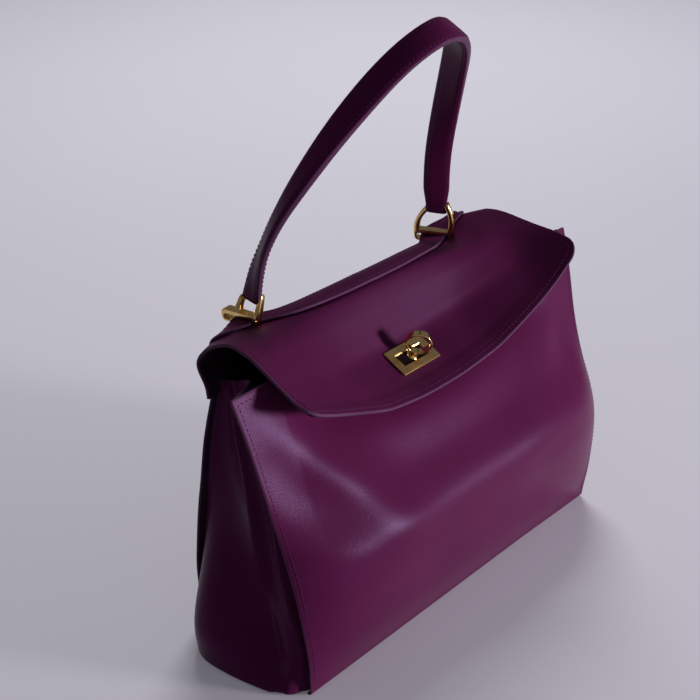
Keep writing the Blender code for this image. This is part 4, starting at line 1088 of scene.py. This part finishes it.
def makeStirrup(label, sideSign):
    # the loop lies level round the yoke; its arms rise to a pin that leans with the handle
    middle, across, down, sideways = stirrupFrame(label, sideSign)
    m, own = metal, stirrupSides[label]
    body = label + "_stirrup_body"
    drop = (middle[2] - own["loopHeightAt"]) / -down[2]
    loopCentre = middle + down * drop + sideways * sideSign * own["aside"] + across * own["shift"]
    outline = roundedRectangle(m["loopLength"] - m["loopWall"], m["loopHeight"] - m["loopWall"],
                               m["loopCorner"] - m["loopWall"] / 2, 10)
    up = np.array([0, 0, 1.0])
    path = loopCentre + outline[:, 0:1] * across + outline[:, 1:2] * up
    way = unit(np.roll(path, -1, axis=0) - np.roll(path, 1, axis=0))
    out = unit(np.cross(way, np.broadcast_to(sideways, way.shape)))
    wide = np.broadcast_to(sideways, way.shape)
    # the upper band is a thick bar, the lower one thin
    heavier = (1 + m["upperBand"] * smoothStep(outline[:, 1] / m["loopHeight"], 0.0, 0.42))[:, None, None]
    away = np.sign(np.sum(out * (path - loopCentre), axis=1))[:, None, None]
    band = roundedRectangle(m["loopWidth"], m["loopWall"], 0.00045, 4)[None] * np.concatenate(
        [np.ones_like(heavier), heavier], axis=2)
    band = band + np.concatenate([0 * away, away * (heavier - 1) * m["loopWall"] / 2], axis=2)
    loop = sweep(label + "Stirrup", path, wide, out, band, [polishedGold], None, True, 40)
    pinWay = across * math.cos(m["pinTilt"]) + up * math.sin(m["pinTilt"])
    tools = []
    for side in (-1, 1):
        # down from the boss, bowed outwards on the way, and into the loop's upper band
        fall = np.linspace(0, 1, 25)[:, None]
        top = middle + pinWay * side * m["armTop"]
        foot = own["armBack"] if side > 0 else -m["armFront"]
        bottom = loopCentre + across * foot + up * (m["loopHeight"] / 2 - m["loopWall"] * 0.3)
        armPath = top + (bottom - top) * fall + across * side * own["bow"] * 4 * fall * (1 - fall)
        way = unit(np.gradient(armPath, axis=0))
        wide = np.broadcast_to(sideways, way.shape)
        out = unit(np.cross(way, wide))
        girth = (m["armWide"] + m["armWider"] * smoothStep(fall[:, 0], 0.3, 0.95))[:, None, None]
        flat = roundedRectangle(1.0, 0.70, 0.24, 4)[None]
        arm = sweep(label + "Arm", armPath, unit(wide - way * np.sum(wide * way, axis=1, keepdims=True)),
                    out, flat * girth, [polishedGold], None, False, 40)
        start = middle + pinWay * side * m["bossStart"]
        bar = roundBar(m["bossRadius"], m["bossLength"])
        tools += [arm, turned(label + "Boss", bar, start, pinWay * side, polishedGold)]
    stirrup = merged(loop, tools)
    stirrup.data.set_sharp_from_angle(angle=math.radians(40))
    place(stirrup, body, "gold_metal", label + "_stirrup")
    reach = m["bossStart"] + m["bossLength"] - 0.0003
    bar = roundBar(m["pinRadius"], 2 * reach)
    pin = turned(label + "Pin", bar, middle - pinWay * reach, pinWay, polishedGold)
    place(pin, body, "gold_metal", label + "_pin")
    face = middle - pinWay * (m["bossStart"] + m["bossLength"] + 0.0001)
    bar = roundBar(m["screwRadius"], m["screwThick"], 0.0003)
    head = turned(label + "PinScrew", bar, face, -pinWay, polishedGold)
    slotBox = slotCutter(face - pinWay * (m["screwThick"] + 0.0003), pinWay, down, 0.0006)
    merged(head, [slotBox], 'DIFFERENCE')
    place(head, body, "gold_metal", label + "_pin_screw")


def slotCutter(centre, across, down, wide):
    # a thin bar laid over the screw's head, at a slant
    lie = unit(down + 0.6 * np.cross(across, down))
    width = unit(np.cross(across, lie))
    corners = [centre + across * a + lie * b + width * c
               for a in (-0.0008, 0.0007) for b in (-0.004, 0.004) for c in (-wide / 2, wide / 2)]
    faces = [[0, 1, 3, 2], [4, 6, 7, 5], [0, 4, 5, 1], [2, 3, 7, 6], [0, 2, 6, 4], [1, 5, 7, 3]]
    verts = np.array(corners)
    return makePiece("screwSlot", verts, facedOut(verts, faces), [polishedGold], None, False)


makeStirrup("left", -1)
makeStirrup("right", 1)


# Turn lock on the flap

turnLock = {"width": 0.036, "depth": 0.020, "thick": 0.0012, "rim": 0.0062, "rimShort": 0.0057,
            "corner": 0.0008, "bevel": 0.0005, "gap": 0.0003, "ringRadius": 0.0084, "ringBore": 0.0069,
            "ringWidth": 0.0046, "ringTurn": math.radians(42), "neckRise": 0.0026, "neckRadius": 0.0020,
            "footRadius": 0.0037, "footThick": 0.0009, "stackDown": 0.0052, "bite": 0.0008}
lockAcross = np.array([1.0, 0, 0])
lockBack = np.array([0, math.cos(lock["tilt"]), math.sin(lock["tilt"])])
lockUp = np.array([0, -math.sin(lock["tilt"]), math.cos(lock["tilt"])])
lockPoint = np.array([0, lock["y"], lock["z"]])


def onLock(across, back, up):
    # lengths along the lock's own three ways, from its middle
    across, back, up = (np.asarray(v, float)[..., None] for v in (across, back, up))
    return lockPoint + across * lockAcross + back * lockBack + up * lockUp


def lockOutline(insetX, insetY, corner, height):
    # a rounded rectangle on the flap, set in from the plate's outer edge
    w = turnLock
    outline = roundedRectangle(w["width"] - 2 * insetX, w["depth"] - 2 * insetY, corner, 5)
    return onLock(outline[:, 0], outline[:, 1], np.full(len(outline), height))


def makeLockPlate():
    # rounded rectangles stacked as a closed frame: outer wall, bevel, top, bevel, inner wall, underside
    w = turnLock
    bevel, low, top = w["bevel"], w["gap"], w["gap"] + w["thick"]
    outer = [(0.0, low), (0.0, top - bevel), (bevel * 0.3, top - bevel * 0.3), (bevel, top)]
    inner = [(1 - bevel * 1.4 / w["rim"], top), (1.0, top - bevel * 1.6), (1.0, low)]
    rings = [(inset, inset, height) for inset, height in outer]
    rings += [(share * w["rim"], share * w["rimShort"], height) for share, height in inner]
    loops = [lockOutline(x, y, max(w["corner"] - min(x, y), 0.0003), height) for x, y, height in rings]
    plate = ringPiece("lockPlate", loops, [brushedGold], looped=True, sharpAngle=18)
    place(plate, "flap_body", "gold_metal", "lock_plate")
    # a near-black plate at the bottom of its window: painted shade in the recess
    inset = (w["rim"] + 0.0001, w["rimShort"] + 0.0001)
    loops = [lockOutline(*inset, 0.0003, height) for height in (0.0001, 0.0005)]
    well = ringPiece("lockWell", loops, [paintedShadeWell], smooth=False)
    place(well, "flap_body", "lining_leather")


def makeLockRing():
    # a flat band turned about a level axis, standing on a neck
    w = turnLock
    ringUp = w["gap"] + w["thick"] + w["neckRise"] + w["ringRadius"]
    way = lockAcross * math.cos(w["ringTurn"]) + lockBack * math.sin(w["ringTurn"])
    middle = lockPoint + lockUp * ringUp
    wall = w["ringRadius"] - w["ringBore"]
    band = roundedRectangle(w["ringWidth"], wall, 0.0005, 5)
    profile = np.column_stack([(w["ringRadius"] + w["ringBore"]) / 2 + band[:, 1], band[:, 0]])
    ring = turned("lockRing", profile, middle, way, polishedGold, 72, True, 40)
    # the neck with its foot disc: narrow, disc with eased edges, narrow, and up into the ring
    low = w["gap"] - w["stackDown"]
    neck, foot, ease = w["neckRadius"], w["footRadius"], 0.0003
    base, top = w["gap"], w["gap"] + w["footThick"]
    profile = [(neck - 0.0004, low), (neck, low + 0.0004), (neck, base), (foot - ease, base),
               (foot, base + ease), (foot, top - ease), (foot - ease, top), (neck + ease, top),
               (neck, top + 0.0004), (neck, ringUp - w["ringRadius"] + w["bite"])]
    neck = turned("lockNeck", profile, lockPoint, lockUp, polishedGold, 48, False, 40)
    ring = merged(ring, [neck])
    ring.data.set_sharp_from_angle(angle=math.radians(40))
    place(ring, "turn_lock_body", "gold_metal", "lock_ring")


makeLockPlate()
makeLockRing()
print("metal made")


# Stitches where the end walls join the front wall, and along the front wall's top

def makeWallStitches():
    # up the front wall's two sides, a little in from the seam, and along its top
    share = 1 - stitch["wallInset"] / (frontWall["baseWidth"] / 2)
    columns = np.array([share - 0.01, share, share + 0.01])
    for label, side in (("left", -columns[::-1]), ("right", columns)):
        grid = frontGrid(side, 160)
        stitchRow(label + "SeamStitches", grid[4:-3, 1], gridNormals(grid)[4:-3, 1], "bag_body")
    grid = frontGrid(spreadColumns(161)[4:-4], 161)
    stitchRow("frontTopStitches", grid[-5], gridNormals(grid)[-5], "bag_body")


makeWallStitches()


# CAD nodes that stay

for name, material in (("yoke_backing", boardMaterial), ("receiver_backing", boardMaterial),
                       ("lock_receiver", hiddenMetal), ("lock_back_plate", hiddenMetal),
                       ("lock_latch_bar", hiddenMetal)):
    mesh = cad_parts[name].data
    mesh.materials.clear()
    mesh.materials.append(material)
print("kept nodes dressed")


# Floor, light and camera

studio = {"floor": (0.50, 0.47, 0.52), "floorSeen": (0.93, 0.91, 0.98), "floorGlow": (0.80, 0.78, 0.90),
          "glowShare": 0.10, "world": (0.74, 0.72, 0.86), "worldLevel": 0.16,
          "keyPlace": (1.00, -1.95, 0.25), "keySize": 0.46, "keyPower": 2.42, "keyColour": (1.0, 0.96, 1.0),
          "keySpread": math.radians(40), "keyTarget": (0, 0, 0.10),
          "topPlace": (1.1, 0.9, 1.5), "topSize": 0.9, "topPower": 17.5}
photoView = {"place": (-0.65762, -0.51723, 0.59284), "azimuth": 49.594, "elevation": 27.543,
             "roll": 0.590, "lens": 77.16, "sensor": 36.0}


def makeFloor():
    # what the camera, metal and glass see is pale and glows a little; the rest is grey,
    # and both keep the shadow
    material, tree, shader = newMaterial("paleFloor", 0.8)
    soft = node(tree, "ShaderNodeTexNoise", {"Vector": objectPlace(tree), "Scale": 3.0, "Detail": 2.0})
    pale = colourRamp(tree, soft.outputs["Fac"], [c * 0.97 for c in studio["floorSeen"]], studio["floorSeen"])
    sight = node(tree, "ShaderNodeLightPath", {}).outputs
    seen = sight["Is Camera Ray"]
    for kind in ("Is Glossy Ray", "Is Transmission Ray"):
        seen = node(tree, "ShaderNodeMath", {0: seen, 1: sight[kind]}, operation='MAXIMUM').outputs[0]
    feed(tree, shader, {"Base Color": colourMix(tree, seen, (*studio["floor"], 1), pale)})
    share = node(tree, "ShaderNodeMath", {0: seen, 1: studio["glowShare"]}, operation='MULTIPLY')
    glow = node(tree, "ShaderNodeEmission", {"Color": (*studio["floorGlow"], 1), "Strength": 1.0})
    mixed = node(tree, "ShaderNodeMixShader", {0: share.outputs[0], 1: shader.outputs[0], 2: glow.outputs[0]})
    feed(tree, tree.nodes["Material Output"], {"Surface": mixed.outputs[0]})
    size = 6.0
    verts = [(-size, -size, 0), (size, -size, 0), (size, size, 0), (-size, size, 0)]
    makePiece("studioFloor", verts, [[0, 1, 2, 3]], [material], None, False)


def makeLight(name, spot, size, power, colour=(1, 1, 1), target=(0, 0, 0.12)):
    # a round lamp that points from its place to its target
    light = bpy.data.lights.new(name, 'AREA')
    light.shape = 'DISK'
    light.size = size
    light.energy = power
    light.color = colour
    thing = bpy.data.objects.new(name, light)
    bpy.context.scene.collection.objects.link(thing)
    thing.location = spot
    thing.rotation_euler = (Vector(target) - Vector(spot)).to_track_quat('-Z', 'Y').to_euler()
    return thing


def makeStudio():
    # floor, even light from all round, a key lamp, and a soft lamp above and behind
    makeFloor()
    world = bpy.data.worlds.new("studioWorld")
    bpy.context.scene.world = world
    world.use_nodes = True
    background = world.node_tree.nodes["Background"]
    background.inputs["Color"].default_value = (*studio["world"], 1)
    background.inputs["Strength"].default_value = studio["worldLevel"]
    # a narrow beam, so that the floor under the lamp stays below white
    key = makeLight("keyLight", studio["keyPlace"], studio["keySize"], studio["keyPower"],
                    studio["keyColour"], studio["keyTarget"])
    key.data.spread = studio["keySpread"]
    top = makeLight("topLight", studio["topPlace"], studio["topSize"], studio["topPower"])
    top.visible_glossy = False
    bpy.context.scene.view_settings.view_transform = 'Standard'


def makeCamera():
    # the camera looks along its azimuth, down by its elevation, and is turned by its roll
    v = photoView
    az, el, roll = (math.radians(v[k]) for k in ("azimuth", "elevation", "roll"))
    forward = Vector((math.sin(az) * math.cos(el), math.cos(az) * math.cos(el), -math.sin(el)))
    right = Vector((math.cos(az), -math.sin(az), 0))
    up = right.cross(forward)
    r = math.cos(roll) * right + math.sin(roll) * up
    u = -math.sin(roll) * right + math.cos(roll) * up
    data = bpy.data.cameras.new("photoCamera")
    data.lens = v["lens"]
    data.sensor_width = v["sensor"]
    data.sensor_fit = 'HORIZONTAL'
    data.clip_start = 0.01
    camera = bpy.data.objects.new("photoCamera", data)
    bpy.context.scene.collection.objects.link(camera)
    rows = [(r[k], u[k], -forward[k], v["place"][k]) for k in range(3)]
    camera.matrix_world = Matrix(rows + [(0, 0, 0, 1)])
    bpy.context.scene.camera = camera


makeStudio()
makeCamera()
print("studio ready")
